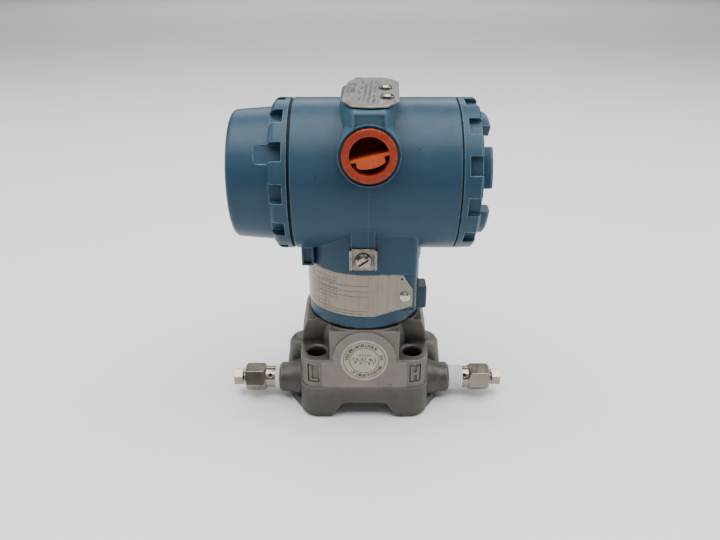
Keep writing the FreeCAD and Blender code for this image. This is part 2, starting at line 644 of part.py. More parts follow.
# ------------------------------------------------------------------ sensor module
def module_pocket():
    """Clear space over one front bolt: its back wall leans out towards the rim."""
    top_z = RIM_TOP_Z + CUT_OVER
    lean = (POCKET_TOP_Y - POCKET_FLOOR_Y) / (RIM_Z - MODULE_LEDGE_Z)
    top_y = POCKET_FLOOR_Y + lean * (top_z - MODULE_LEDGE_Z)
    front = MODULE_HALF_Y + MODULE_CORNER_R
    outer_x = MODULE_HALF_X + MODULE_CORNER_R
    points = [Vector(ARM_HALF_X, -POCKET_FLOOR_Y, MODULE_LEDGE_Z), Vector(ARM_HALF_X, -front, MODULE_LEDGE_Z),
              Vector(ARM_HALF_X, -front, top_z), Vector(ARM_HALF_X, -top_y, top_z)]
    pocket = prism(points, Vector(outer_x, 0, 0))
    inner = [edge for edge in pocket.Edges
             if edge.BoundBox.XMax < ARM_HALF_X + CUT_OVER and edge.BoundBox.YMin > -top_y - CUT_OVER
             and edge.BoundBox.ZLength > CUT_OVER]
    return pocket.makeFillet(POCKET_ROUND, inner)


def module_upper():
    """Tapered cross with a round rim, cut flat at the front and back."""
    right = [(MODULE_HALF_X, MODULE_LEDGE_Z), (SHOULDER_HALF_X, SHOULDER_Z), (RIM_R, RIM_Z)]
    left = [(-x, z) for x, z in reversed(right)]
    taper = [Vector(x, -MODULE_HALF_Y, z) for x, z in right + left]
    flanks = prism(taper, Vector(0, 2 * MODULE_HALF_Y, 0))
    flare = turned([(MODULE_LEDGE_Z, 0), (MODULE_LEDGE_Z, FLARE_FOOT_R), (RIM_Z, FLARE_TOP_R), (RIM_Z, 0)],
                   Vector(0, 0, 0), Z_AXIS, X_AXIS)
    rim = rod(RIM_R, Vector(0, 0, SHOULDER_Z), Vector(0, 0, RIM_TOP_Z))
    slab = block(-MODULE_HALF_X, MODULE_HALF_X, -ARM_FACE_Y, ARM_FACE_Y, MODULE_LEDGE_Z, RIM_TOP_Z)
    body = flanks.common(flare).fuse(rim).common(slab)
    return body.cut(four_corners(module_pocket()))


def module_label_pads():
    """Round-topped pads that carry the label on the front and back faces."""
    pad = rod(PAD_R, Vector(0, -MODULE_HALF_Y, PAD_Z), Vector(0, MODULE_HALF_Y, PAD_Z))
    leg = block(-PAD_R, PAD_R, -MODULE_HALF_Y, MODULE_HALF_Y, PAD_Z - PAD_SHOULDER_DROP, PAD_Z)
    return pad.fuse(leg)


def mark_letters():
    """Strokes of the L and the H in front view, as (x0, x1, z0, z1)."""
    left = MARK_X - MARK_HALF_X + MARK_MARGIN
    right = MARK_X + MARK_HALF_X - MARK_MARGIN
    foot = MARK_FOOT_Z + MARK_MARGIN
    top = MARK_TOP_Z - MARK_MARGIN
    bar = (foot + top - MARK_STROKE) / 2
    low = [(-right, -right + MARK_STROKE, foot, top), (-right, -left, foot, foot + MARK_STROKE)]
    high = [(left, left + MARK_STROKE, foot, top), (right - MARK_STROKE, right, foot, top),
            (left, right, bar, bar + MARK_STROKE)]
    return low + high


def module_mark_recesses():
    """Sunk panels of the pressure marks, which follow the round corners and leave the letters standing."""
    outer = block(-MARK_X - MARK_HALF_X, MARK_X + MARK_HALF_X, -MODULE_HALF_Y - CUT_OVER, 0,
                  MARK_FOOT_Z, MARK_TOP_Z)
    between = block(-MARK_X + MARK_HALF_X, MARK_X - MARK_HALF_X, -MODULE_HALF_Y - CUT_OVER, 0,
                    MARK_FOOT_Z, MARK_TOP_Z)
    core = rounded_block(MODULE_HALF_X - MARK_DEPTH, MODULE_HALF_Y - MARK_DEPTH,
                         MODULE_CORNER_R - MARK_DEPTH, FLANGE_H, MODULE_LEDGE_Z)
    letters = [block(x0, x1, -MODULE_HALF_Y - CUT_OVER, 0, z0, z1) for x0, x1, z0, z1 in mark_letters()]
    return outer.cut([between, core] + letters)


def make_sensor_module():
    plate = rounded_block(MODULE_HALF_X, MODULE_HALF_Y, MODULE_CORNER_R, FLANGE_H, MODULE_LEDGE_Z)
    stub = rod(STUB_R, Vector(0, 0, MODULE_LEDGE_Z), Vector(0, 0, STUB_TOP_Z))
    body = joined(plate, module_upper(), module_label_pads(), stub)
    sensor_bore = rod(STUB_BORE_R, Vector(0, 0, SENSOR_FLOOR_Z), Vector(0, 0, STUB_TOP_Z + CUT_OVER))
    board_bore = rod(SENSOR_BOARD_R + SENSOR_LEDGE_CLEARANCE, Vector(0, 0, SENSOR_BOARD_Z),
                     Vector(0, 0, STUB_TOP_Z + CUT_OVER))
    bolt_hole = rod(BOLT_R + THREAD_CLEARANCE, Vector(BOLT_HALF_X, BOLT_HALF_Y, FLANGE_H - CUT_OVER),
                    Vector(BOLT_HALF_X, BOLT_HALF_Y, MODULE_LEDGE_Z + CUT_OVER))
    hole_mouth = Part.makeCone(BOLT_R, BOLT_R + 2 * BOLT_HOLE_CHAMFER, 2 * BOLT_HOLE_CHAMFER,
                               Vector(BOLT_HALF_X, BOLT_HALF_Y, MODULE_LEDGE_Z - BOLT_HOLE_CHAMFER), Z_AXIS)
    cuts = [sensor_bore, board_bore, module_mark_recesses()]
    cuts += four_corners(bolt_hole) + four_corners(hole_mouth)
    for side in SIDES.values():
        centre = Vector(side * DIAPHRAGM_X, 0, FLANGE_H)
        cuts.append(rod(DIAPHRAGM_R + SEAL_CLEARANCE, centre - Z_AXIS * CUT_OVER,
                        centre + Z_AXIS * DIAPHRAGM_RECESS))
        cuts.append(tube(PROCESS_SEAL_INNER_R - SEAL_CLEARANCE, PROCESS_SEAL_OUTER_R + SEAL_CLEARANCE,
                         centre - Z_AXIS * CUT_OVER, centre + Z_AXIS * (PROCESS_SEAL_H + SEAL_CLEARANCE)))
    return body.cut(cuts)


def make_isolating_diaphragms():
    top = FLANGE_H + DIAPHRAGM_RECESS
    discs = [rod(DIAPHRAGM_R, Vector(side * DIAPHRAGM_X, 0, top - DIAPHRAGM_THICKNESS),
                 Vector(side * DIAPHRAGM_X, 0, top)) for side in SIDES.values()]
    return Part.makeCompound(discs)


def make_process_seals():
    rings = [tube(PROCESS_SEAL_INNER_R, PROCESS_SEAL_OUTER_R, Vector(side * DIAPHRAGM_X, 0, FLANGE_H),
                  Vector(side * DIAPHRAGM_X, 0, FLANGE_H + PROCESS_SEAL_H)) for side in SIDES.values()]
    return Part.makeCompound(rings)


def make_sensor_capsule():
    foot = Vector(0, 0, SENSOR_FLOOR_Z)
    return rod(SENSOR_CAPSULE_R, foot, foot + Z_AXIS * SENSOR_CAPSULE_H)


def make_sensor_board():
    return rod(SENSOR_BOARD_R, Vector(0, 0, SENSOR_BOARD_Z), Vector(0, 0, SENSOR_BOARD_Z + BOARD_THICKNESS))


def make_neck_seal():
    return tube(NECK_BORE_R + SEAL_CLEARANCE, NECK_R, Vector(0, 0, RIM_TOP_Z),
                Vector(0, 0, NECK_FOOT_Z - NECK_SEAL_GAP))


def make_module_label():
    """Printed foil in the shape of the module's front: a round top on a wide foot."""
    foot = block(-LABEL_HALF_X, LABEL_HALF_X, LABEL_FACE_Y, -MODULE_HALF_Y, LABEL_BASE_Z, LABEL_TOP_Z)
    top = rod(PAD_R, Vector(0, LABEL_FACE_Y, PAD_Z), Vector(0, -MODULE_HALF_Y, PAD_Z))
    below = block(-PAD_R, PAD_R, LABEL_FACE_Y, -MODULE_HALF_Y, LABEL_BASE_Z, PAD_Z)
    return joined(foot, top, below)


def make_inspection_sticker():
    return rod(STICKER_R, Vector(0, LABEL_FACE_Y - STICKER_THICKNESS, STICKER_Z),
               Vector(0, LABEL_FACE_Y, STICKER_Z))


# ------------------------------------------------------------------ housing
def neck_outline(radius, z0, z1):
    """Round neck with a flat, round-cornered pad at its front right."""
    column = rod(radius, Vector(0, 0, z0), Vector(0, 0, z1))
    pad = block(0, PLATE_PAD_X, -radius, 0, z0, z1)
    corner = [edge for edge in pad.Edges if edge.BoundBox.ZLength > CUT_OVER
              and edge.BoundBox.XMin > PLATE_PAD_X - CUT_OVER and edge.BoundBox.YMax < CUT_OVER - radius]
    return column, pad.makeFillet(PLATE_PAD_ROUND, corner)


def nameplate_pad():
    """Pad behind the nameplate, with its underside sloping back to the neck."""
    pad = neck_outline(NECK_R, NECK_FOOT_Z, COLLAR_Z)[1]
    reach = PLATE_PAD_X + CUT_OVER
    rise = PLATE_PAD_SLOPE_RISE / (NAMEPLATE_END_X - PLATE_PAD_SLOPE_X)
    front_y = -NECK_R - CUT_OVER
    back_low = PLATE_PAD_LOW_Z - PLATE_PAD_BACK_DROP
    end_rise = rise * (reach - PLATE_PAD_SLOPE_X)
    front = [Vector(-CUT_OVER, front_y, PLATE_PAD_LOW_Z), Vector(PLATE_PAD_SLOPE_X, front_y, PLATE_PAD_LOW_Z),
             Vector(reach, front_y, PLATE_PAD_LOW_Z + end_rise), Vector(reach, front_y, back_low),
             Vector(-CUT_OVER, front_y, back_low)]
    slant = (PLATE_PAD_LOW_Z - back_low) / (PLATE_PAD_BACK_Y - front_y)
    below = prism(front, Vector(0, -front_y, front_y * slant))
    return pad.cut(below)


def saddle_block():
    """Raised block over the body, with its corners cut away at both ends."""
    right = [(SADDLE_NOSE_HALF_X, CONDUIT_FACE_Y), (SADDLE_HALF_X, SADDLE_CORNER_Y),
             (SADDLE_HALF_X, -SADDLE_CORNER_Y), (SADDLE_NOSE_HALF_X, -CONDUIT_FACE_Y)]
    left = [(-x, y) for x, y in reversed(right)]
    points = [Vector(CONDUIT_X + x, y, CONDUIT_Z) for x, y in right + left]
    saddle = prism(points, Vector(0, 0, SADDLE_TOP_Z - CONDUIT_Z))
    return saddle.makeFillet(SADDLE_ROUND, level_edges(saddle, SADDLE_TOP_Z))


def conduit_boss():
    """Round boss through the body, front to back, with softened end edges."""
    profile = [(-CONDUIT_FACE_Y, 0), (-CONDUIT_FACE_Y, CONDUIT_BOSS_R - CONDUIT_BOSS_EDGE),
               (-CONDUIT_FACE_Y + CONDUIT_BOSS_EDGE, CONDUIT_BOSS_R),
               (CONDUIT_FACE_Y - CONDUIT_BOSS_EDGE, CONDUIT_BOSS_R),
               (CONDUIT_FACE_Y, CONDUIT_BOSS_R - CONDUIT_BOSS_EDGE), (CONDUIT_FACE_Y, 0)]
    return turned(profile, Vector(CONDUIT_X, 0, CONDUIT_Z), Y_AXIS, Z_AXIS)


def saddle_recesses():
    """Shallow rectangular recesses between each conduit boss and the saddle's top."""
    inner_y = CONDUIT_FACE_Y - SADDLE_RECESS_DEPTH
    front = block(CONDUIT_X - SADDLE_RECESS_HALF_X, CONDUIT_X + SADDLE_RECESS_HALF_X,
                  -CONDUIT_FACE_Y - CUT_OVER, -inner_y, CONDUIT_Z, SADDLE_RECESS_TOP_Z)
    front = front.cut(conduit_boss())
    return [front, front.mirror(Vector(0, 0, 0), Y_AXIS)]


def small_bosses():
    """Ground screw boss, cover lug and set screw boss."""
    ground = block(GROUND_X - GROUND_BOSS_HALF_X, GROUND_X + GROUND_BOSS_HALF_X, GROUND_BOSS_FACE_Y, 0,
                   GROUND_BOSS_FOOT_Z, GROUND_BOSS_TOP_Z)
    jam = block(JAM_LUG_X - JAM_LUG_HALF_X, JAM_LUG_X + JAM_LUG_HALF_X, JAM_LUG_FRONT_Y, JAM_LUG_BACK_Y,
                JAM_LUG_FOOT_Z, JAM_LUG_TOP_Z)
    recess_half = JAM_LUG_HALF_X - JAM_RECESS_MARGIN
    recess = block(JAM_LUG_X - recess_half, JAM_LUG_X + recess_half,
                   JAM_LUG_FRONT_Y - CUT_OVER, JAM_LUG_FRONT_Y + JAM_RECESS_DEPTH,
                   JAM_LUG_FOOT_Z + JAM_RECESS_MARGIN, JAM_LUG_TOP_Z - 2 * JAM_RECESS_MARGIN)
    setting = block(NECK_BORE_R, SET_BOSS_FACE_X, SET_BOSS_Y - SET_BOSS_HALF_Y, SET_BOSS_Y + SET_BOSS_HALF_Y,
                    SET_BOSS_FOOT_Z, SET_BOSS_TOP_Z)
    outer = [edge for edge in setting.Edges if edge.BoundBox.XMin > SET_BOSS_FACE_X - CUT_OVER]
    return [ground, jam.cut(recess), setting.makeFillet(SET_BOSS_ROUND, outer)]


def board_posts():
    """Posts on the bulkhead that carry the electronics board."""
    foot = Vector(BULKHEAD_LEFT_X, 0, AXIS_Z + POST_RING_R)
    top = Vector(BOARD_X, 0, AXIS_Z + POST_RING_R)
    hole = rod(SMALL_SCREW_R + THREAD_CLEARANCE, top - X_AXIS * CUT_OVER, top + X_AXIS * SMALL_SCREW_LENGTH)
    post = rod(POST_R, foot, top).cut(hole)
    return [spun(post, 360 * index / POST_COUNT) for index in range(POST_COUNT)]


def housing_cuts():
    """Compartments, cover threads, conduit bores, neck bore and screw holes."""
    def bore(radius, x0, x1):
        return rod(radius, Vector(x0, 0, AXIS_Z), Vector(x1, 0, AXIS_Z))

    cuts = [bore(COMPARTMENT_R, HOUSING_LEFT_X - CUT_OVER, BULKHEAD_LEFT_X),
            bore(COMPARTMENT_R, BULKHEAD_RIGHT_X, HOUSING_RIGHT_X + CUT_OVER),
            bore(COVER_THREAD_BORE_R, HOUSING_LEFT_X - CUT_OVER, HOUSING_LEFT_X + COVER_THREAD_BORE_DEPTH),
            bore(COVER_THREAD_BORE_R, HOUSING_RIGHT_X - COVER_THREAD_BORE_DEPTH, HOUSING_RIGHT_X + CUT_OVER),
            rod(NECK_BORE_R, Vector(0, 0, NECK_FOOT_Z - CUT_OVER), Vector(0, 0, NECK_BORE_TOP_Z)),
            rod(WIREWAY_R, Vector(WIREWAY_X, 0, NECK_BORE_TOP_Z - CUT_OVER),
                Vector(WIREWAY_X, 0, AXIS_Z - COMPARTMENT_R + COVER_THREAD_BORE_DEPTH)),
            rod(SET_SCREW_R + THREAD_CLEARANCE, Vector(STUB_BORE_R, SET_BOSS_Y, set_screw_z()),
                Vector(SET_BOSS_FACE_X + CUT_OVER, SET_BOSS_Y, set_screw_z())),
            rod(GROUND_SCREW_R + THREAD_CLEARANCE, Vector(GROUND_X, GROUND_BOSS_FACE_Y - CUT_OVER, GROUND_Z),
                Vector(GROUND_X, GROUND_BOSS_FACE_Y + GROUND_SCREW_LENGTH, GROUND_Z))]
    for side in SIDES.values():
        face = Vector(CONDUIT_X, side * CONDUIT_FACE_Y, CONDUIT_Z)
        inward = Y_AXIS * -side
        cuts.append(rod(CONDUIT_BORE_R, face - inward * CUT_OVER, face + inward * COMPARTMENT_R))
        cuts.append(rod(CONDUIT_SINK_R, face - inward * CUT_OVER, face + inward * CONDUIT_SINK_DEPTH))
    for start in tag_screw_places():
        cuts.append(rod(TAG_SCREW_R + THREAD_CLEARANCE, start - Z_AXIS * TAG_SCREW_LENGTH,
                        start + Z_AXIS * CUT_OVER))
    for start in rivet_places():
        cuts.append(rod(RIVET_SHANK_R + THREAD_CLEARANCE, start[0] + start[1] * CUT_OVER,
                        start[0] - start[1] * RIVET_SHANK_LENGTH))
    for seat in block_screw_places():
        mouth = Vector(BULKHEAD_RIGHT_X, seat.y, seat.z)
        depth = BLOCK_SCREW_BITE + SEAL_CLEARANCE
        cuts.append(rod(SMALL_SCREW_R + THREAD_CLEARANCE, mouth - X_AXIS * depth, mouth + X_AXIS * CUT_OVER))
    return cuts


def make_housing_body():
    """Two-compartment housing cast in one piece with its neck, saddle and bosses."""
    ends = [(HOUSING_LEFT_X, 0), (HOUSING_LEFT_X, HOUSING_R - HOUSING_EDGE),
            (HOUSING_LEFT_X + HOUSING_EDGE, HOUSING_R), (HOUSING_RIGHT_X - HOUSING_EDGE, HOUSING_R),
            (HOUSING_RIGHT_X, HOUSING_R - HOUSING_EDGE), (HOUSING_RIGHT_X, 0)]
    drum = turned(ends, HOUSING_AXIS, X_AXIS, Z_AXIS)
    neck = neck_outline(NECK_R, NECK_FOOT_Z, COLLAR_Z)[0]
    collar = neck_outline(COLLAR_R, COLLAR_Z, AXIS_Z)
    body = drum.fuse([neck, nameplate_pad(), collar[0], collar[1], saddle_block(), conduit_boss()]
                     + small_bosses())
    body = body.cut(saddle_recesses() + housing_cuts())
    return body.fuse(board_posts()).removeSplitter()


def set_screw_z():
    return (SET_BOSS_FOOT_Z + SET_BOSS_TOP_Z) / 2


def make_rotation_set_screw():
    """Grub screw that locks the housing on the module's threaded stub."""
    near_y = SET_BOSS_Y + SET_SCREW_R
    stub_x = math.sqrt(STUB_R ** 2 - near_y ** 2)
    start = Vector(stub_x + SET_SCREW_END_GAP, SET_BOSS_Y, set_screw_z())
    end = Vector(SET_BOSS_FACE_X - SET_SCREW_SINK, SET_BOSS_Y, set_screw_z())
    socket = hexagon(SET_SCREW_R, end - X_AXIS * SET_SCREW_R, X_AXIS * (SET_SCREW_R + CUT_OVER), Z_AXIS, 0)
    return rod(SET_SCREW_R, start, end).cut(socket)


# ------------------------------------------------------------------ nameplate, tag and ground clamp
def nameplate_inner_r():
    return NECK_R + NAMEPLATE_GAP


def rivet_places():
    """Seat point and outward direction of the two nameplate rivets."""
    inner = nameplate_inner_r()
    wrap = math.radians(270 - NAMEPLATE_WRAP + RIVET_WRAP_MARGIN)
    outward = Vector(math.cos(wrap), math.sin(wrap), 0)
    front = Vector(RIVET_X, -inner - NAMEPLATE_THICKNESS, RIVET_Z)
    back = outward * (inner + NAMEPLATE_THICKNESS) + Z_AXIS * RIVET_Z
    return [(front, -Y_AXIS), (back, outward)]


def make_nameplate():
    """Thin plate wrapped round the left of the neck and flat on the pad at the right."""
    inner = nameplate_inner_r()
    outer = inner + NAMEPLATE_THICKNESS
    height = NAMEPLATE_TOP_Z - NAMEPLATE_LOW_Z
    ring = tube(inner, outer, Vector(0, 0, NAMEPLATE_LOW_Z), Vector(0, 0, NAMEPLATE_TOP_Z))
    foot = Vector(0, 0, NAMEPLATE_LOW_Z)
    sector = Part.makeCylinder(outer + CUT_OVER, height, foot, Z_AXIS, NAMEPLATE_WRAP)
    sector.rotate(Vector(0, 0, 0), Z_AXIS, 270 - NAMEPLATE_WRAP)
    flat = block(0, NAMEPLATE_END_X, -outer, -inner, NAMEPLATE_LOW_Z, NAMEPLATE_TOP_Z)
    plate = joined(ring.common(sector), flat)
    top_cut = [Vector(NAMEPLATE_END_X - NAMEPLATE_TOP_CUT, -outer - CUT_OVER, NAMEPLATE_TOP_Z),
               Vector(NAMEPLATE_END_X, -outer - CUT_OVER, NAMEPLATE_TOP_Z - NAMEPLATE_SIDE_CUT),
               Vector(NAMEPLATE_END_X + CUT_OVER, -outer - CUT_OVER, NAMEPLATE_TOP_Z + CUT_OVER)]
    low_cut = [Vector(PLATE_PAD_SLOPE_X, -outer - CUT_OVER, NAMEPLATE_LOW_Z),
               Vector(NAMEPLATE_END_X, -outer - CUT_OVER, NAMEPLATE_LOW_Z + PLATE_PAD_SLOPE_RISE),
               Vector(NAMEPLATE_END_X + CUT_OVER, -outer - CUT_OVER, NAMEPLATE_LOW_Z - CUT_OVER)]
    depth = Vector(0, NAMEPLATE_THICKNESS + 2 * CUT_OVER, 0)
    holes = [rod(NAMEPLATE_HOLE_R, Vector(NAMEPLATE_HOLE_X, -outer - CUT_OVER, NAMEPLATE_HOLE_Z),
                 Vector(NAMEPLATE_HOLE_X, -inner + CUT_OVER, NAMEPLATE_HOLE_Z))]
    rivet_hole_r = RIVET_SHANK_R + THREAD_CLEARANCE
    holes += [rod(rivet_hole_r, seat - out * (NAMEPLATE_THICKNESS + CUT_OVER), seat + out * CUT_OVER)
              for seat, out in rivet_places()]
    return plate.cut([prism(top_cut, depth), prism(low_cut, depth)] + holes)


def make_nameplate_rivets():
    rivets = []
    for seat, outward in rivet_places():
        head = turned([(0, 0), (0, RIVET_HEAD_R), (RIVET_HEAD_H / 2, RIVET_HEAD_R),
                       (RIVET_HEAD_H, RIVET_HEAD_R / 2), (RIVET_HEAD_H, 0)], seat, outward, Z_AXIS)
        shank = rod(RIVET_SHANK_R, seat, seat - outward * (RIVET_SHANK_LENGTH - CUT_OVER))
        rivets.append(joined(head, shank))
    return Part.makeCompound(rivets)


def tag_screw_places():
    """Where the two tag screws enter the saddle's top."""
    return [Vector(TAG_SCREW_X, y, SADDLE_TOP_Z) for y in (TAG_SCREW_FRONT_Y, TAG_SCREW_BACK_Y)]


def make_top_tag():
    """Long plate with round noses, held just above the saddle on two pressed pads."""
    right = [(TAG_NOSE_HALF_X, TAG_NOSE_Y), (TAG_HALF_X, TAG_SHOULDER_Y),
             (TAG_HALF_X, -TAG_SHOULDER_Y), (TAG_NOSE_HALF_X, -TAG_NOSE_Y)]
    left = [(-x, y) for x, y in reversed(right)]
    corners = [Vector(x, y, TAG_UNDERSIDE_Z) for x, y in right + left]
    right_side = Part.makePolygon(corners[:len(right)])
    left_side = Part.makePolygon(corners[len(right):])
    front_nose = Part.Arc(corners[len(right) - 1], Vector(0, -TAG_HALF_Y, TAG_UNDERSIDE_Z),
                          corners[len(right)]).toShape()
    back_nose = Part.Arc(corners[-1], Vector(0, TAG_HALF_Y, TAG_UNDERSIDE_Z), corners[0]).toShape()
    outline = Part.Wire(right_side.Edges + [front_nose] + left_side.Edges + [back_nose])
    plate = Part.Face(outline).extrude(Vector(0, 0, TAG_THICKNESS))
    plate.rotate(Vector(0, 0, 0), Z_AXIS, TAG_TURN)
    plate.translate(Vector(TAG_CENTRE_X, TAG_CENTRE_Y, 0))
    pads = [rod(TAG_PAD_R, place, place + Z_AXIS * TAG_STAND) for place in tag_screw_places()]
    through = Z_AXIS * (TAG_STAND + TAG_THICKNESS + CUT_OVER)
    holes = [rod(TAG_SCREW_R + THREAD_CLEARANCE, place, place + through) for place in tag_screw_places()]
    return plate.fuse(pads).removeSplitter().cut(holes)


def make_tag_screws():
    screws = []
    for place in tag_screw_places():
        seat = place + Z_AXIS * (TAG_STAND + TAG_THICKNESS)
        head = slotted_head(TAG_SCREW_HEAD_R, TAG_SCREW_HEAD_H, seat, Z_AXIS, X_AXIS, 0)
        shank = rod(TAG_SCREW_R, place - Z_AXIS * (TAG_SCREW_LENGTH - CUT_OVER), seat)
        screws.append(joined(head, shank))
    return Part.makeCompound(screws)


def make_ground_clamp():
    """Bent saddle washer with two forward ears and cut lower corners."""
    left = GROUND_X - CLAMP_HALF_X
    right = GROUND_X + CLAMP_HALF_X
    points = [Vector(left, 0, CLAMP_TOP_Z), Vector(right, 0, CLAMP_TOP_Z),
              Vector(right, 0, CLAMP_FOOT_Z + CLAMP_CORNER / 2),
              Vector(right - CLAMP_CORNER, 0, CLAMP_FOOT_Z), Vector(left + CLAMP_CORNER, 0, CLAMP_FOOT_Z),
              Vector(left, 0, CLAMP_FOOT_Z + CLAMP_CORNER / 2)]
    channel = prism(points, Vector(0, CLAMP_THICKNESS + CLAMP_EAR, 0))
    channel.translate(Vector(0, CLAMP_FACE_Y - CLAMP_EAR, 0))
    inside = block(left + CLAMP_THICKNESS, right - CLAMP_THICKNESS, CLAMP_FACE_Y - CLAMP_EAR - CUT_OVER,
                   CLAMP_FACE_Y, CLAMP_FOOT_Z - CUT_OVER, CLAMP_TOP_Z + CUT_OVER)
    hole = rod(GROUND_SCREW_R + THREAD_CLEARANCE, Vector(GROUND_X, CLAMP_FACE_Y - CUT_OVER, GROUND_Z),
               Vector(GROUND_X, GROUND_BOSS_FACE_Y + CUT_OVER, GROUND_Z))
    return channel.cut([inside, hole])


def make_ground_screw():
    seat = Vector(GROUND_X, CLAMP_FACE_Y, GROUND_Z)
    head = slotted_head(GROUND_SCREW_HEAD_R, GROUND_SCREW_HEAD_H, seat, -Y_AXIS, Z_AXIS, GROUND_SLOT_TURN)
    shank = rod(GROUND_SCREW_R, seat, seat + Y_AXIS * GROUND_SCREW_LENGTH)
    return joined(head, shank)


# ------------------------------------------------------------------ covers
def wrench_notches(phase, floor_r, x0, x1):
    """Parallel-sided notches round a cover's ring."""
    notch = block(x0, x1, -NOTCH_WIDTH / 2, NOTCH_WIDTH / 2, AXIS_Z + floor_r, AXIS_Z + HOUSING_R + CUT_OVER)
    return [spun(notch, 90 - phase - 360 * index / NOTCH_COUNT) for index in range(NOTCH_COUNT)]


def seal_groove(face_x, side):
    """Groove for the cover's seal in the face that meets the housing."""
    return tube(SEAL_INNER_R - SEAL_CLEARANCE, SEAL_OUTER_R + SEAL_CLEARANCE,
                Vector(face_x - side * CUT_OVER, 0, AXIS_Z),
                Vector(face_x + side * SEAL_GROOVE_DEPTH, 0, AXIS_Z))


def make_cover_seal(face_x, gap, side):
    """Seal ring between the housing's end and a cover."""
    start = face_x - side * (gap - SEAL_CLEARANCE)
    end = face_x + side * (SEAL_GROOVE_DEPTH - SEAL_CLEARANCE)
    return tube(SEAL_INNER_R, SEAL_OUTER_R, Vector(start, 0, AXIS_Z), Vector(end, 0, AXIS_Z))


def round_rim(cover, x, radius, rounding):
    """A cover with its rim of the given radius at x rounded off."""
    slack = 0.01
    middle = Vector(x, 0, AXIS_Z)
    reach = Vector(slack, radius + slack, radius + slack)
    rims = [edge for edge in edges_at(cover, middle - reach, middle + reach)
            if edge.BoundBox.YLength > 2 * (radius - CUT_OVER)]
    return cover.makeFillet(rounding - slack, rims)


def make_display_cover():
    """Long cover with a window: toothed ring, tapered barrel and male thread skirt."""
    skirt_end = HOUSING_LEFT_X + COVER_SKIRT_LENGTH
    tooth_end = DISPLAY_FACE_X - DISPLAY_RING_LENGTH
    ring_back = DISPLAY_END_X + WINDOW_WALL + GASKET_THICKNESS + GLASS_THICKNESS + WINDOW_RING_LENGTH
    profile = [(skirt_end, COVER_BORE_R), (skirt_end, COVER_SKIRT_R), (DISPLAY_FACE_X, COVER_SKIRT_R),
               (DISPLAY_FACE_X, HOUSING_R), (tooth_end, HOUSING_R), (tooth_end, DISPLAY_BARREL_ROOT_R),
               (DISPLAY_END_X + DISPLAY_END_ROUND, DISPLAY_BARREL_END_R),
               (DISPLAY_END_X, DISPLAY_BARREL_END_R), (DISPLAY_END_X, WINDOW_R),
               (DISPLAY_END_X + WINDOW_WALL, WINDOW_R), (DISPLAY_END_X + WINDOW_WALL, GLASS_BORE_R),
               (ring_back, GLASS_BORE_R), (ring_back, COVER_BORE_R)]
    cover = turned(profile, HOUSING_AXIS, X_AXIS, Z_AXIS)
    cover = round_rim(cover, DISPLAY_END_X, DISPLAY_BARREL_END_R, DISPLAY_END_ROUND)
    cover = round_rim(cover, tooth_end, HOUSING_R, DISPLAY_RING_ROUND)
    band_x = DISPLAY_FACE_X - DISPLAY_BAND
    notches = wrench_notches(DISPLAY_NOTCH_PHASE, DISPLAY_NOTCH_FLOOR_R, tooth_end - CUT_OVER, band_x)
    edge_y = -NOTCH_WIDTH / 2
    rim_r = HOUSING_R + CUT_OVER
    wedge = [Vector(DISPLAY_FLAT_END_X, edge_y, AXIS_Z + DISPLAY_FLAT_END_R),
             Vector(band_x, edge_y, AXIS_Z + DISPLAY_FLAT_FLOOR_R), Vector(band_x, edge_y, AXIS_Z + rim_r),
             Vector(DISPLAY_FLAT_END_X, edge_y, AXIS_Z + rim_r)]
    flat = prism(wedge, Y_AXIS * NOTCH_WIDTH)
    return cover.cut(notches + [spun(flat, 90 - DISPLAY_FLAT_PHASE), seal_groove(DISPLAY_FACE_X, -1)])


def make_window_gasket():
    start = DISPLAY_END_X + WINDOW_WALL
    return tube(WINDOW_R, GLASS_R, Vector(start, 0, AXIS_Z), Vector(start + GASKET_THICKNESS, 0, AXIS_Z))


def make_window_glass():
    start = DISPLAY_END_X + WINDOW_WALL + GASKET_THICKNESS
    return rod(GLASS_R, Vector(start, 0, AXIS_Z), Vector(start + GLASS_THICKNESS, 0, AXIS_Z))


def make_window_ring():
    start = DISPLAY_END_X + WINDOW_WALL + GASKET_THICKNESS + GLASS_THICKNESS
    return tube(WINDOW_R, GLASS_R, Vector(start, 0, AXIS_Z), Vector(start + WINDOW_RING_LENGTH, 0, AXIS_Z))


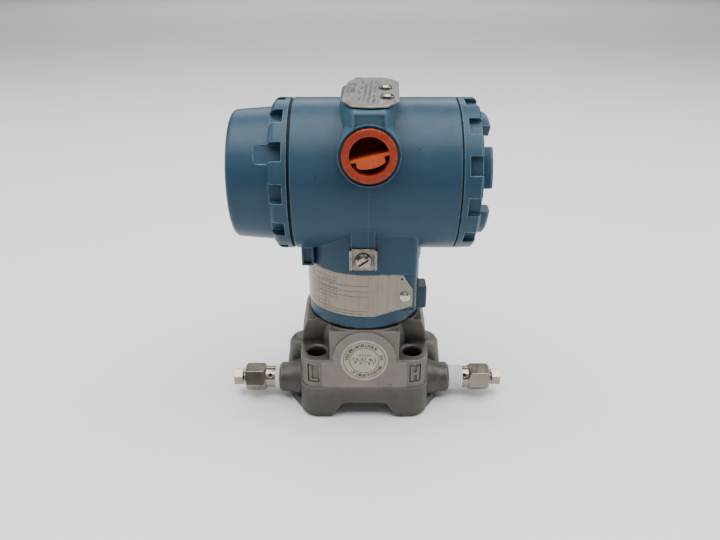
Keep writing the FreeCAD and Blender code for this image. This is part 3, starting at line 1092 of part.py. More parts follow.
def make_terminal_cover():
    """Flat cover: notched ring, wrench crown and male thread skirt."""
    skirt_end = HOUSING_RIGHT_X - COVER_SKIRT_LENGTH
    inner_x = TERMINAL_END_X - TERMINAL_WALL
    profile = [(skirt_end, COVER_BORE_R), (skirt_end, COVER_SKIRT_R), (TERMINAL_FACE_X, COVER_SKIRT_R),
               (TERMINAL_FACE_X, HOUSING_R), (TERMINAL_END_X - TERMINAL_RING_EDGE, HOUSING_R),
               (TERMINAL_END_X, HOUSING_R - TERMINAL_RING_EDGE), (TERMINAL_END_X, 0), (inner_x, 0),
               (inner_x, COVER_BORE_R)]
    cover = turned(profile, HOUSING_AXIS, X_AXIS, Z_AXIS)
    crown_end = TERMINAL_END_X + CROWN_TALL
    crown = turned([(inner_x, CROWN_INNER_R), (inner_x, CROWN_OUTER_R),
                    (crown_end - CROWN_EDGE, CROWN_OUTER_R), (crown_end, CROWN_OUTER_R - CROWN_EDGE),
                    (crown_end, CROWN_INNER_R)], HOUSING_AXIS, X_AXIS, Z_AXIS)
    gap = block(TERMINAL_END_X, crown_end + CUT_OVER, -CROWN_GAP / 2, CROWN_GAP / 2, AXIS_Z,
                AXIS_Z + HOUSING_R)
    gap_phase = TERMINAL_NOTCH_PHASE + 180 / CROWN_COUNT
    gaps = [spun(gap, 90 - gap_phase - 360 * index / CROWN_COUNT) for index in range(CROWN_COUNT)]
    notches = wrench_notches(TERMINAL_NOTCH_PHASE, TERMINAL_NOTCH_FLOOR_R, TERMINAL_FACE_X + TERMINAL_BAND,
                             TERMINAL_END_X + CUT_OVER)
    cover = cover.fuse(crown).removeSplitter()
    return cover.cut(gaps + notches + [seal_groove(TERMINAL_FACE_X, 1)])


# ------------------------------------------------------------------ conduit plugs
def plug_web():
    """Thin wall across the plug's bore, its top at the middle."""
    half = PLUG_BORE_R + SEAL_CLEARANCE
    return block(-half, half, PLUG_WEB_SINK, PLUG_LENGTH - PLUG_FLOOR, -PLUG_WEB_THICKNESS, 0)


def plug_grip():
    """Finger grip hanging from the web, with a bellied underside."""
    front = PLUG_WEB_SINK
    low = Vector(0, front, -PLUG_GRIP_DROP - PLUG_GRIP_BELLY)
    left = Vector(-PLUG_GRIP_HALF_X, front, -PLUG_GRIP_DROP)
    right = Vector(PLUG_GRIP_HALF_X, front, -PLUG_GRIP_DROP)
    top_right = Vector(PLUG_GRIP_HALF_X, front, 0)
    top_left = Vector(-PLUG_GRIP_HALF_X, front, 0)
    outline = Part.Wire([Part.makeLine(top_left, left), Part.Arc(left, low, right).toShape(),
                         Part.makeLine(right, top_right), Part.makeLine(top_right, top_left)])
    grip = Part.Face(outline).extrude(Y_AXIS * (PLUG_LENGTH - PLUG_FLOOR - front))
    sides = [edge for edge in grip.Edges if edge.BoundBox.YLength > CUT_OVER and edge.BoundBox.ZMax < -CUT_OVER]
    return grip.makeFillet(PLUG_GRIP_EDGE, sides)


def make_conduit_plug(side):
    """Moulded plastic plug: rim, hollow body and a grip web across the mouth."""
    face = Vector(CONDUIT_X, side * (CONDUIT_FACE_Y + PLUG_STAND), CONDUIT_Z)
    inward = Y_AXIS * -side
    profile = [(0, 0), (0, PLUG_RIM_R - PLUG_RIM_EDGE), (PLUG_RIM_EDGE, PLUG_RIM_R),
               (CONDUIT_SINK_DEPTH + PLUG_STAND - SEAL_CLEARANCE, PLUG_RIM_R),
               (CONDUIT_SINK_DEPTH + PLUG_STAND - SEAL_CLEARANCE, PLUG_BODY_R), (PLUG_LENGTH, PLUG_BODY_R),
               (PLUG_LENGTH, 0)]
    body = turned(profile, face, inward, Z_AXIS)
    bore = rod(PLUG_BORE_R, face - inward * CUT_OVER, face + inward * (PLUG_LENGTH - PLUG_FLOOR))
    cross = plug_web().fuse(plug_grip())
    if side > 0:
        cross.rotate(Vector(0, 0, 0), Z_AXIS, 180)
    cross.rotate(Vector(0, 0, 0), Y_AXIS, -PLUG_TILT)
    cross.translate(face)
    return joined(body.cut(bore), cross)


# ------------------------------------------------------------------ inside the housing
def board_screw_places():
    """Where the board screws enter the posts."""
    places = []
    for index in range(POST_COUNT):
        angle = math.radians(360 * index / POST_COUNT)
        places.append(Vector(BOARD_X, -POST_RING_R * math.sin(angle), AXIS_Z + POST_RING_R * math.cos(angle)))
    return places


def make_electronics_board():
    disc = rod(BOARD_R, Vector(BOARD_X - BOARD_THICKNESS, 0, AXIS_Z), Vector(BOARD_X, 0, AXIS_Z))
    holes = [rod(SMALL_SCREW_R + THREAD_CLEARANCE, place - X_AXIS * (BOARD_THICKNESS + CUT_OVER), place)
             for place in board_screw_places()]
    return disc.cut(holes)


def small_screw(seat, inward, length):
    """Small pan-head screw with its head on seat and its shank along inward."""
    head = rod(SMALL_SCREW_HEAD_R, seat - inward * SMALL_SCREW_HEAD_H, seat)
    return joined(head, rod(SMALL_SCREW_R, seat, seat + inward * length))


def make_board_screws():
    return Part.makeCompound([small_screw(place - X_AXIS * BOARD_THICKNESS, X_AXIS,
                                          SMALL_SCREW_LENGTH) for place in board_screw_places()])


def make_display_module():
    """Round display housing plugged on the board by its hub."""
    back_x = BOARD_X - BOARD_THICKNESS
    profile = [(back_x, 0), (back_x, DISPLAY_HUB_R), (DISPLAY_BODY_BACK_X, DISPLAY_HUB_R),
               (DISPLAY_BODY_BACK_X, DISPLAY_BODY_R), (DISPLAY_BODY_FACE_X + DISPLAY_EDGE, DISPLAY_BODY_R),
               (DISPLAY_BODY_FACE_X, DISPLAY_BODY_R - DISPLAY_EDGE), (DISPLAY_BODY_FACE_X, 0)]
    return turned(profile, HOUSING_AXIS, X_AXIS, Z_AXIS)


def make_lcd_glass():
    return block(DISPLAY_BODY_FACE_X - LCD_THICKNESS, DISPLAY_BODY_FACE_X, -LCD_HALF_Y, LCD_HALF_Y,
                 AXIS_Z - LCD_HALF_Z, AXIS_Z + LCD_HALF_Z)


def terminal_places():
    """Seats of the terminal screws, at the bottom of their wells."""
    seat_x = BULKHEAD_RIGHT_X + TERMINAL_BLOCK_LENGTH - TERMINAL_WELL_DEPTH
    first = -TERMINAL_PITCH * (TERMINAL_COUNT - 1) / 2
    return [Vector(seat_x, first + TERMINAL_PITCH * index, TERMINAL_Z) for index in range(TERMINAL_COUNT)]


def block_screw_places():
    """Seats of the screws that hold the terminal block to the bulkhead."""
    seat_x = BULKHEAD_RIGHT_X + TERMINAL_BLOCK_LENGTH - TERMINAL_WELL_DEPTH
    return [Vector(seat_x, side * BLOCK_SCREW_HALF_Y, AXIS_Z) for side in SIDES.values()]


def make_terminal_block():
    """Moulded block below the conduit entries, with a well at each terminal."""
    face_x = BULKHEAD_RIGHT_X + TERMINAL_BLOCK_LENGTH
    disc = rod(TERMINAL_BLOCK_R, Vector(BULKHEAD_RIGHT_X, 0, AXIS_Z), Vector(face_x, 0, AXIS_Z))
    above = block(BULKHEAD_RIGHT_X - CUT_OVER, face_x + CUT_OVER, -HOUSING_R, HOUSING_R,
                  AXIS_Z + TERMINAL_BLOCK_RISE, AXIS_Z + HOUSING_R)
    cuts = [above]
    half = TERMINAL_WELL_HALF
    for seat in terminal_places():
        cuts.append(block(seat.x, face_x + CUT_OVER, seat.y - half, seat.y + half,
                          seat.z - half, seat.z + half))
        cuts.append(rod(TERMINAL_SCREW_R + THREAD_CLEARANCE, seat - X_AXIS * TERMINAL_WELL_DEPTH, seat))
    for seat in block_screw_places():
        cuts.append(rod(SMALL_SCREW_HEAD_R + SENSOR_LEDGE_CLEARANCE, seat,
                        seat + X_AXIS * (TERMINAL_WELL_DEPTH + CUT_OVER)))
        cuts.append(rod(SMALL_SCREW_R + THREAD_CLEARANCE, seat - X_AXIS * TERMINAL_BLOCK_LENGTH, seat))
    return disc.cut(cuts)


def make_terminal_screws():
    screws = []
    for seat in terminal_places():
        head = slotted_head(TERMINAL_SCREW_HEAD_R, TERMINAL_SCREW_HEAD_H, seat, X_AXIS, Z_AXIS, 0)
        shank = rod(TERMINAL_SCREW_R, seat - X_AXIS * (TERMINAL_WELL_DEPTH - CUT_OVER), seat)
        screws.append(joined(head, shank))
    return Part.makeCompound(screws)


def make_block_screws():
    length = TERMINAL_BLOCK_LENGTH - TERMINAL_WELL_DEPTH + BLOCK_SCREW_BITE
    return Part.makeCompound([small_screw(seat, -X_AXIS, length) for seat in block_screw_places()])


# ------------------------------------------------------------------ all sub-parts
def all_parts():
    parts = {
        "process_flange": make_process_flange(),
        "flange_bolts": make_flange_bolts(),
        "sensor_module": make_sensor_module(),
        "isolating_diaphragms": make_isolating_diaphragms(),
        "process_seals": make_process_seals(),
        "sensor_capsule": make_sensor_capsule(),
        "sensor_board": make_sensor_board(),
        "neck_seal": make_neck_seal(),
        "module_label": make_module_label(),
        "inspection_sticker": make_inspection_sticker(),
        "housing_body": make_housing_body(),
        "rotation_set_screw": make_rotation_set_screw(),
        "nameplate": make_nameplate(),
        "nameplate_rivets": make_nameplate_rivets(),
        "top_tag": make_top_tag(),
        "tag_screws": make_tag_screws(),
        "ground_clamp": make_ground_clamp(),
        "ground_screw": make_ground_screw(),
        "display_cover": make_display_cover(),
        "display_cover_seal": make_cover_seal(DISPLAY_FACE_X, COVER_GAP_LEFT, -1),
        "window_gasket": make_window_gasket(),
        "window_glass": make_window_glass(),
        "window_ring": make_window_ring(),
        "terminal_cover": make_terminal_cover(),
        "terminal_cover_seal": make_cover_seal(TERMINAL_FACE_X, COVER_GAP_RIGHT, 1),
        "front_conduit_plug": make_conduit_plug(-1),
        "rear_conduit_plug": make_conduit_plug(1),
        "electronics_board": make_electronics_board(),
        "board_screws": make_board_screws(),
        "display_module": make_display_module(),
        "lcd_glass": make_lcd_glass(),
        "terminal_block": make_terminal_block(),
        "terminal_screws": make_terminal_screws(),
        "block_screws": make_block_screws(),
    }
    for side in SIDES:
        parts[side + "_vent_body"] = make_vent_body(side)
        parts[side + "_thread_tape"] = make_thread_tape(side)
        parts[side + "_vent_ball"] = make_vent_ball(side)
        parts[side + "_vent_stem"] = make_vent_stem(side)
    return parts


os.makedirs("parts", exist_ok=True)
for name, shape in all_parts().items():
    shape.exportStep("parts/" + name + ".step")
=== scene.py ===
import math
import random

import bpy
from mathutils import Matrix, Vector


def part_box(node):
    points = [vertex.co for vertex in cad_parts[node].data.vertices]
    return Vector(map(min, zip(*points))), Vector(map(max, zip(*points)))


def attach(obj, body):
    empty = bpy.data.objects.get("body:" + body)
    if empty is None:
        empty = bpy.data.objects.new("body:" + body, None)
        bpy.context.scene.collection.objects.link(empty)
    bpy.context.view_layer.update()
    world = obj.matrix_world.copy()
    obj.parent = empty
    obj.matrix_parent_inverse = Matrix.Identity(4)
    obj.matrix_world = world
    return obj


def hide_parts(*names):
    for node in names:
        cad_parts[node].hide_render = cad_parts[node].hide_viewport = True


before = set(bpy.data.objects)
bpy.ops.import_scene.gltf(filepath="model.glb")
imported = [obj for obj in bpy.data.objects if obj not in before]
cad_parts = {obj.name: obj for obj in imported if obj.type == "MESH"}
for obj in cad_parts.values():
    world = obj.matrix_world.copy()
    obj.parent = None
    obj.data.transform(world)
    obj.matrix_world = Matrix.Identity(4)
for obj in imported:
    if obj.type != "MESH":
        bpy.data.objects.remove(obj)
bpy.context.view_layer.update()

# Differential pressure transmitter, coplanar flange type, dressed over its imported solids.
# Metres; the origin is the centre of the flange's underside, +Z is up and the front faces -Y.


# ------------------------------------------------------------------ places on the object
def box_middle(node, axis):
    """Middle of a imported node's box along one axis."""
    return sum(corner[axis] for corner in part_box(node)) / 2


X, Y, Z = 0, 1, 2

# Conduit plugs: their outer face, how far in from it lie the grip, which gets a painted highlight,
# and the hollow, which gets painted shade, and the line of both entries
PLUG_FACE = -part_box("front_conduit_plug")[0][Y]
PLUG_GRIP = (0.0010, 0.0050)
PLUG_HOLLOW = (0.0020, 0.0090)
PLUG_X = box_middle("front_conduit_plug", X)
PLUG_Z = box_middle("front_conduit_plug", Z)

# Saddle over the conduit entries, made paler blue as a painted highlight, and the mould's parting
# line under the front one
SADDLE_HIGHLIGHT_REACH = 0.0145
SADDLE_HIGHLIGHT_RIM = 0.0010
SADDLE_HIGHLIGHT_RISE = (0.1600, 0.1700)
SEAM_HALF = 0.0003
SEAM_FADE = (-0.0250, -0.0330)

# Threaded holes that are open in the sensor module's ledge, over the flange bolts' ends, which
# painted shade darkens
BOLT_HEAD_R = 0.0070
BOLT_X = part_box("flange_bolts")[1][X] - BOLT_HEAD_R
BOLT_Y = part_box("flange_bolts")[1][Y] - BOLT_HEAD_R
BOLT_HOLE_RIM = (0.0062, 0.0057)
BOLT_HOLE_DEPTH = (0.0381, 0.0354)

# Height over which the castings turn from the flange's tone to the module's: the flange's darker
# tone is painted shade near the floor, and the module's lighter tone laid on its upper parts is
# painted light
LIT_TONE_RISE = (0.0150, 0.0290)

# Nameplate: its radius, and each ruled line's height and its ends along the plate
NAMEPLATE_R = 0.0317
RULE_HALF = 0.00017
NAMEPLATE_RULES = ((0.0851, -0.046, 0.0022), (0.0819, -0.043, 0.0022), (0.0789, -0.030, 0.0022),
                   (0.0700, -0.040, 0.0012), (0.0685, -0.024, -0.0010), (0.0880, -0.060, -0.033))
NAMEPLATE_FIELDS = (((-0.060, -0.0215), (0.0705, 0.0895)), ((-0.0215, -0.0150), (0.0755, 0.0895)))

# Top tag: its turn on the saddle, the field of its rows and the block of bars beside them
TAG_TURN = math.radians(-2.7)
TAG_FIELD = ((-0.0030, 0.0072), (-0.037, 0.024))
TAG_BLOCK = ((-0.0092, -0.0045), (-0.011, 0.016))

# Module's foil label: its reddened foot and two small marks
LABEL_FOOT = (0.0275, 0.0220)
LABEL_FOOT_X = (-0.012, 0.006)
LABEL_MARKS_X = ((0.0074, 0.0086), (0.0137, 0.0156))
LABEL_MARKS_Z = (0.0228, 0.0234)

# Round sticker: its middle, printed rings, band of bars with the radius that spaces them, row
# of dashes and drawn line
STICKER_Z = box_middle("inspection_sticker", Z)
STICKER_RINGS = (0.0116, 0.0081)
STICKER_RING_HALF = 0.00022
STICKER_BAND = (0.0088, 0.0108)
STICKER_BAND_R = 0.0100
STICKER_DASHES = ((-0.0034, 0.0036), (0.0030, 0.0041))
STICKER_LINE_X = (-0.0066, 0.0066)

# Thread tape: where it starts, how many wraps each vent has, and how wide a wrap is
TAPE_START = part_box("right_thread_tape")[0][X]
TAPE_WRAPS = {"left_thread_tape": 2, "right_thread_tape": 6}
TAPE_PITCH = (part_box("right_thread_tape")[1][X] - TAPE_START) / TAPE_WRAPS["right_thread_tape"]


# ------------------------------------------------------------------ shader building blocks
MIX_COLOUR_INPUTS = (0, 6, 7)
MIX_COLOUR_RESULT = 2


def colour(red, green, blue):
    """Opaque colour from its linear parts."""
    return (red, green, blue, 1.0)


def shade(tone, red, green, blue):
    """A colour with each of its parts multiplied."""
    return colour(tone[0] * red, tone[1] * green, tone[2] * blue)


def feed(tree, socket, value):
    """Links another node's output to a socket, or gives the socket a plain value."""
    if isinstance(value, bpy.types.NodeSocket):
        tree.links.new(value, socket)
    else:
        socket.default_value = value


def add(tree, kind, settings=None, **inputs):
    """Shader node with a link or a value for each named input, and its own settings."""
    node = tree.nodes.new("ShaderNode" + kind)
    for key, value in (settings or {}).items():
        setattr(node, key, value)
    for key, value in inputs.items():
        feed(tree, node.inputs[key.replace("_", " ")], value)
    return node


def maths(tree, operation, first, second=0.0):
    """Result of a Math node."""
    node = add(tree, "Math", {"operation": operation})
    feed(tree, node.inputs[0], first)
    feed(tree, node.inputs[1], second)
    return node.outputs[0]


def times(tree, *values):
    """Product of several values."""
    result = values[0]
    for value in values[1:]:
        result = maths(tree, "MULTIPLY", result, value)
    return result


def either(tree, masks):
    """The strongest of several masks."""
    result = masks[0]
    for mask in masks[1:]:
        result = maths(tree, "MAXIMUM", result, mask)
    return result


def distance(tree, first, second):
    """Distance from the origin of two lengths at right angles."""
    squares = maths(tree, "ADD", times(tree, first, first), times(tree, second, second))
    return maths(tree, "SQRT", squares)


def ramp(tree, value, low, high, to_low=0.0, to_high=1.0):
    """A value carried from one range to another and held there."""
    node = add(tree, "MapRange", Value=value, From_Min=low, From_Max=high, To_Min=to_low,
               To_Max=to_high)
    return node.outputs["Result"]


def inside(tree, value, low, high, soft=0.00008):
    """1 where a length lies between two bounds, with a soft rim."""
    return times(tree, ramp(tree, value, low - soft, low + soft),
                 ramp(tree, value, high + soft, high - soft))


def field(tree, along, across, bounds):
    """1 on a rectangle given by its bounds along and across."""
    return times(tree, inside(tree, along, *bounds[0]), inside(tree, across, *bounds[1]))


def mix(tree, factor, first, second):
    """Mixed colour."""
    node = add(tree, "Mix", {"data_type": "RGBA"})
    for index, value in zip(MIX_COLOUR_INPUTS, (factor, first, second)):
        feed(tree, node.inputs[index], value)
    return node.outputs[MIX_COLOUR_RESULT]


def layered(tree, base, layers):
    """Base colour under layers, each laid on by a mask."""
    for mask, tone in layers:
        base = mix(tree, mask, base, tone)
    return base


def object_point(tree):
    """Place of the surface point in the row frame."""
    return add(tree, "TexCoord").outputs["Object"]


def axes_of(tree, point):
    """The three lengths of a point."""
    return add(tree, "SeparateXYZ", Vector=point).outputs


def noise(tree, point, scale, detail, roughness):
    """Cloudy unevenness between 0 and 1."""
    node = add(tree, "TexNoise", Vector=point, Scale=scale, Detail=detail, Roughness=roughness)
    return node.outputs["Fac"]


def bump(tree, height, distance, strength, normal=None):
    """Normal of a bumpy surface, on top of another normal if one is given."""
    node = add(tree, "Bump", Height=height, Distance=distance, Strength=strength)
    if normal is not None:
        feed(tree, node.inputs["Normal"], normal)
    return node.outputs["Normal"]


# ------------------------------------------------------------------ shared effects
def new_group(name, inputs, outputs):
    """Empty node group; returns it with the sockets that come in and those that go out."""
    group = bpy.data.node_groups.new(name, "ShaderNodeTree")
    for label, value in inputs.items():
        socket = group.interface.new_socket(label, in_out="INPUT", socket_type="NodeSocketFloat")
        socket.default_value = value
    for label, kind in outputs.items():
        group.interface.new_socket(label, in_out="OUTPUT", socket_type="NodeSocket" + kind)
    start, end = group.nodes.new("NodeGroupInput"), group.nodes.new("NodeGroupOutput")
    return group, start.outputs, end.inputs


def make_grain_group():
    """Fine bumpy grain over broad unevenness, for castings, paint and plastic."""
    group, given, result = new_group(
        "Surface Grain",
        {"Fine Scale": 900.0, "Broad Scale": 60.0, "Broad Share": 0.5},
        {"Height": "Float", "Patches": "Float"})
    point = object_point(group)
    fine = noise(group, point, given["Fine Scale"], detail=3.0, roughness=0.6)
    broad = noise(group, point, given["Broad Scale"], detail=4.0, roughness=0.6)
    low = times(group, broad, given["Broad Share"])
    feed(group, result["Height"], maths(group, "ADD", fine, low))
    feed(group, result["Patches"], ramp(group, broad, low=0.35, high=0.68))
    return group


def make_edge_wear_and_highlight_group():
    """Mask of the outward edges, broken up by noise, that lightens them as wear and as a painted
    highlight, and a normal that rounds them off.
    """
    group, given, result = new_group(
        "Edge Wear And Painted Highlight", {"Radius": 0.0005, "Amount": 0.6}, {"Mask": "Float", "Normal": "Vector"})
    rounded = add(group, "Bevel", {"samples": 6}, Radius=given["Radius"]).outputs["Normal"]
    flat = add(group, "NewGeometry").outputs["Normal"]
    likeness = add(group, "VectorMath", {"operation": "DOT_PRODUCT"})
    feed(group, likeness.inputs[0], rounded)
    feed(group, likeness.inputs[1], flat)
    edge = ramp(group, likeness.outputs["Value"], low=0.998, high=0.90)
    patchy = noise(group, object_point(group), scale=420.0, detail=5.0, roughness=0.7)
    broken = ramp(group, patchy, low=0.36, high=0.58, to_low=0.35)
    feed(group, result["Mask"], times(group, edge, broken, given["Amount"]))
    feed(group, result["Normal"], rounded)
    return group


def make_dust_group():
    """Masks of the dust that settles on what faces up, and of scattered specks."""
    group, given, result = new_group(
        "Settled Dust", {"Amount": 0.5, "Specks": 0.5}, {"Mask": "Float", "Speck Mask": "Float"})
    point = object_point(group)
    up = axes_of(group, add(group, "NewGeometry").outputs["Normal"])["Z"]
    upward = ramp(group, up, low=0.1, high=1.0)
    cloud = noise(group, point, scale=140.0, detail=6.0, roughness=0.65)
    cloud = ramp(group, cloud, low=0.42, high=0.75)
    cells = add(group, "TexVoronoi", {"feature": "F1"}, Vector=point, Scale=260.0)
    rare = noise(group, point, scale=170.0, detail=1.0, roughness=0.5)
    speck = times(group, ramp(group, cells.outputs["Distance"], low=0.16, high=0.08),
                  ramp(group, rare, low=0.66, high=0.70))
    feed(group, result["Mask"], times(group, upward, cloud, given["Amount"]))
    feed(group, result["Speck Mask"], times(group, speck, given["Specks"]))
    return group


def make_crevice_shade_group():
    """Mask of painted shade that darkens corners and hollows."""
    group, given, result = new_group(
        "Crevice Painted Shade", {"Reach": 0.006, "Amount": 0.7}, {"Mask": "Float"})
    sky = add(group, "AmbientOcclusion", {"samples": 8}, Distance=given["Reach"])
    hidden = ramp(group, sky.outputs["AO"], low=0.84, high=0.34)
    patchy = noise(group, object_point(group), scale=240.0, detail=4.0, roughness=0.6)
    broken = ramp(group, patchy, low=0.30, high=0.65, to_low=0.55)
    feed(group, result["Mask"], times(group, hidden, broken, given["Amount"]))
    return group


def make_rows_group():
    """Rows of small broken strokes, as fine engraving or print looks from a hand's distance."""
    group, given, result = new_group(
        "Stroke Rows",
        {"Along": 0.0, "Across": 0.0, "Pitch": 0.002, "Stroke": 0.0006, "Height": 0.6},
        {"Mask": "Float"})
    tallness, strokes_in_word, blank_words = 1.6, 7.0, 0.18
    row = maths(group, "DIVIDE", given["Across"], given["Pitch"])
    index = maths(group, "FLOOR", row)
    within = maths(group, "FRACT", row)
    band = maths(group, "LESS_THAN", within, given["Height"])
    stroke = maths(group, "DIVIDE", given["Along"], given["Stroke"])
    place = add(group, "CombineXYZ", X=stroke, Y=times(group, within, tallness), Z=index)
    shapes = noise(group, place.outputs["Vector"], scale=1.0, detail=1.0, roughness=0.5)
    shapes = ramp(group, shapes, low=0.44, high=0.50)
    word = maths(group, "FLOOR", maths(group, "DIVIDE", stroke, strokes_in_word))
    word = add(group, "CombineXYZ", X=word, Y=index)
    chance = add(group, "TexWhiteNoise", {"noise_dimensions": "3D"},
                 Vector=word.outputs["Vector"])
    kept = maths(group, "GREATER_THAN", chance.outputs["Value"], blank_words)
    feed(group, result["Mask"], times(group, band, shapes, kept))
    return group


GRAIN = make_grain_group()
EDGE_WEAR_AND_HIGHLIGHT = make_edge_wear_and_highlight_group()
DUST = make_dust_group()
CREVICE_SHADE = make_crevice_shade_group()
ROWS = make_rows_group()


def use(tree, group, **values):
    """Places a shared effect in a material with its own values; returns what it puts out."""
    node = add(tree, "Group", {"node_tree": group}, **values)
    return node.outputs


# ------------------------------------------------------------------ finishes
def new_material(name, **values):
    """Material with a Principled shader; keywords are plain values of its sockets."""
    material = bpy.data.materials.new(name)
    material.use_nodes = True
    shader = material.node_tree.nodes["Principled BSDF"]
    for key, value in values.items():
        feed(material.node_tree, shader.inputs[key.replace("_", " ")], value)
    return material, material.node_tree, shader


def finish(tree, shader, tone, roughness, normal):
    """Joins a finish's colour, roughness and relief to its shader."""
    feed(tree, shader.inputs["Base Color"], tone)
    feed(tree, shader.inputs["Roughness"], roughness)
    feed(tree, shader.inputs["Normal"], normal)


def polyester_paint(name, edge_wear_and_highlight):
    """Blue paint over cast aluminium: faint orange peel, edges lighter from wear and a painted
    highlight, painted shade in its crevices, a painted highlight high on the raised top, specks
    and dust.
    """
    material, tree, shader = new_material(name, Specular_IOR_Level=0.23)
    grain = use(tree, GRAIN, Fine_Scale=520.0, Broad_Scale=48.0, Broad_Share=1.4)
    # Edges lighter from wear and from a painted highlight
    edges = use(tree, EDGE_WEAR_AND_HIGHLIGHT, Radius=0.0008, Amount=edge_wear_and_highlight)
    dust = use(tree, DUST, Amount=0.08, Specks=1.0)
    # Painted shade that darkens the crevices
    crevice_shade = use(tree, CREVICE_SHADE, Reach=0.0050, Amount=0.60)
    axes = axes_of(tree, object_point(tree))
    seam = times(tree, inside(tree, axes["X"], PLUG_X - SEAM_HALF, PLUG_X + SEAM_HALF, SEAM_HALF),
                 ramp(tree, axes["Y"], *SEAM_FADE))
    # Painted highlight: the saddle is made paler blue where its faces catch the light
    saddle_highlight = times(tree, inside(tree, axes["X"], PLUG_X - SADDLE_HIGHLIGHT_REACH, PLUG_X + SADDLE_HIGHLIGHT_REACH,
                                SADDLE_HIGHLIGHT_RIM),
                   ramp(tree, axes["Z"], *SADDLE_HIGHLIGHT_RISE))
    saddle_highlight_share, seam_share = 0.75, 0.22
    blue = mix(tree, grain["Patches"], colour(0.0170, 0.0480, 0.0785),
               colour(0.0200, 0.0550, 0.0890))
    saddle_highlight_blue, seam_blue = colour(0.042, 0.102, 0.150), colour(0.060, 0.120, 0.165)
    rubbed_and_highlit, dusty = colour(0.150, 0.290, 0.380), colour(0.20, 0.24, 0.26)
    crevice_shade_tone, speck = colour(0.006, 0.013, 0.020), colour(0.008, 0.012, 0.016)
    paint = layered(tree, blue, [
        (times(tree, saddle_highlight, saddle_highlight_share), saddle_highlight_blue), (times(tree, seam, seam_share), seam_blue),
        (edges["Mask"], rubbed_and_highlit), (dust["Mask"], dusty), (crevice_shade["Mask"], crevice_shade_tone),
        (dust["Speck Mask"], speck)])
    finish(tree, shader, paint, ramp(tree, grain["Patches"], 0.0, 1.0, to_low=0.34, to_high=0.42),
           bump(tree, grain["Height"], distance=0.00006, strength=0.5, normal=edges["Normal"]))
    return material


# The flange's and the module's tones are one steel; the flange's is darkened as painted shade near
# the floor
FLANGE_SHADED_DARK, FLANGE_SHADED_LIGHT = colour(0.054, 0.046, 0.039), colour(0.080, 0.070, 0.060)
MODULE_DARK, MODULE_LIGHT = colour(0.108, 0.096, 0.081), colour(0.150, 0.136, 0.116)


def cast_steel(name, dark, light):
    """Bead-blasted stainless casting: painted light makes it paler above, and painted shade
    darkens its corners and bolt holes.
    """
    material, tree, shader = new_material(name, Metallic=0.35)
    grain = use(tree, GRAIN, Fine_Scale=1500.0, Broad_Scale=70.0, Broad_Share=0.6)
    # Edges lighter from wear and from a painted highlight
    edges = use(tree, EDGE_WEAR_AND_HIGHLIGHT, Radius=0.0008, Amount=0.75)
    dust = use(tree, DUST, Amount=0.2, Specks=0.35)
    # Painted shade that darkens the corners
    crevice_shade = use(tree, CREVICE_SHADE, Reach=0.0080, Amount=0.85)
    axes = axes_of(tree, object_point(tree))
    # Painted shade inside the open bolt holes
    across = maths(tree, "SUBTRACT", maths(tree, "ABSOLUTE", axes["X"]), BOLT_X)
    back = maths(tree, "SUBTRACT", maths(tree, "ABSOLUTE", axes["Y"]), BOLT_Y)
    bolt_hole_shade = times(tree, ramp(tree, distance(tree, across, back), *BOLT_HOLE_RIM),
                 ramp(tree, axes["Z"], *BOLT_HOLE_DEPTH))
    lit_top_share, bolt_hole_shade_share = 0.75, 0.85
    # Painted light: the flange's upper parts take the module's lighter tone
    upper = times(tree, ramp(tree, axes["Z"], *LIT_TONE_RISE), lit_top_share)
    rubbed_and_highlit, dusty = colour(0.34, 0.315, 0.28), colour(0.30, 0.28, 0.25)
    crevice_shade_tone, bolt_hole_shade_tone = colour(0.012, 0.010, 0.008), colour(0.010, 0.008, 0.006)
    speck = colour(0.04, 0.035, 0.03)
    steel = layered(tree, mix(tree, grain["Patches"], dark, light), [
        (upper, mix(tree, grain["Patches"], MODULE_DARK, MODULE_LIGHT)),
        (edges["Mask"], rubbed_and_highlit), (dust["Mask"], dusty), (crevice_shade["Mask"], crevice_shade_tone),
        (times(tree, bolt_hole_shade, bolt_hole_shade_share), bolt_hole_shade_tone), (dust["Speck Mask"], speck)])
    finish(tree, shader, steel, ramp(tree, grain["Patches"], 0.0, 1.0, to_low=0.40, to_high=0.54),
           bump(tree, grain["Height"], distance=0.00010, strength=0.55, normal=edges["Normal"]))
    return material


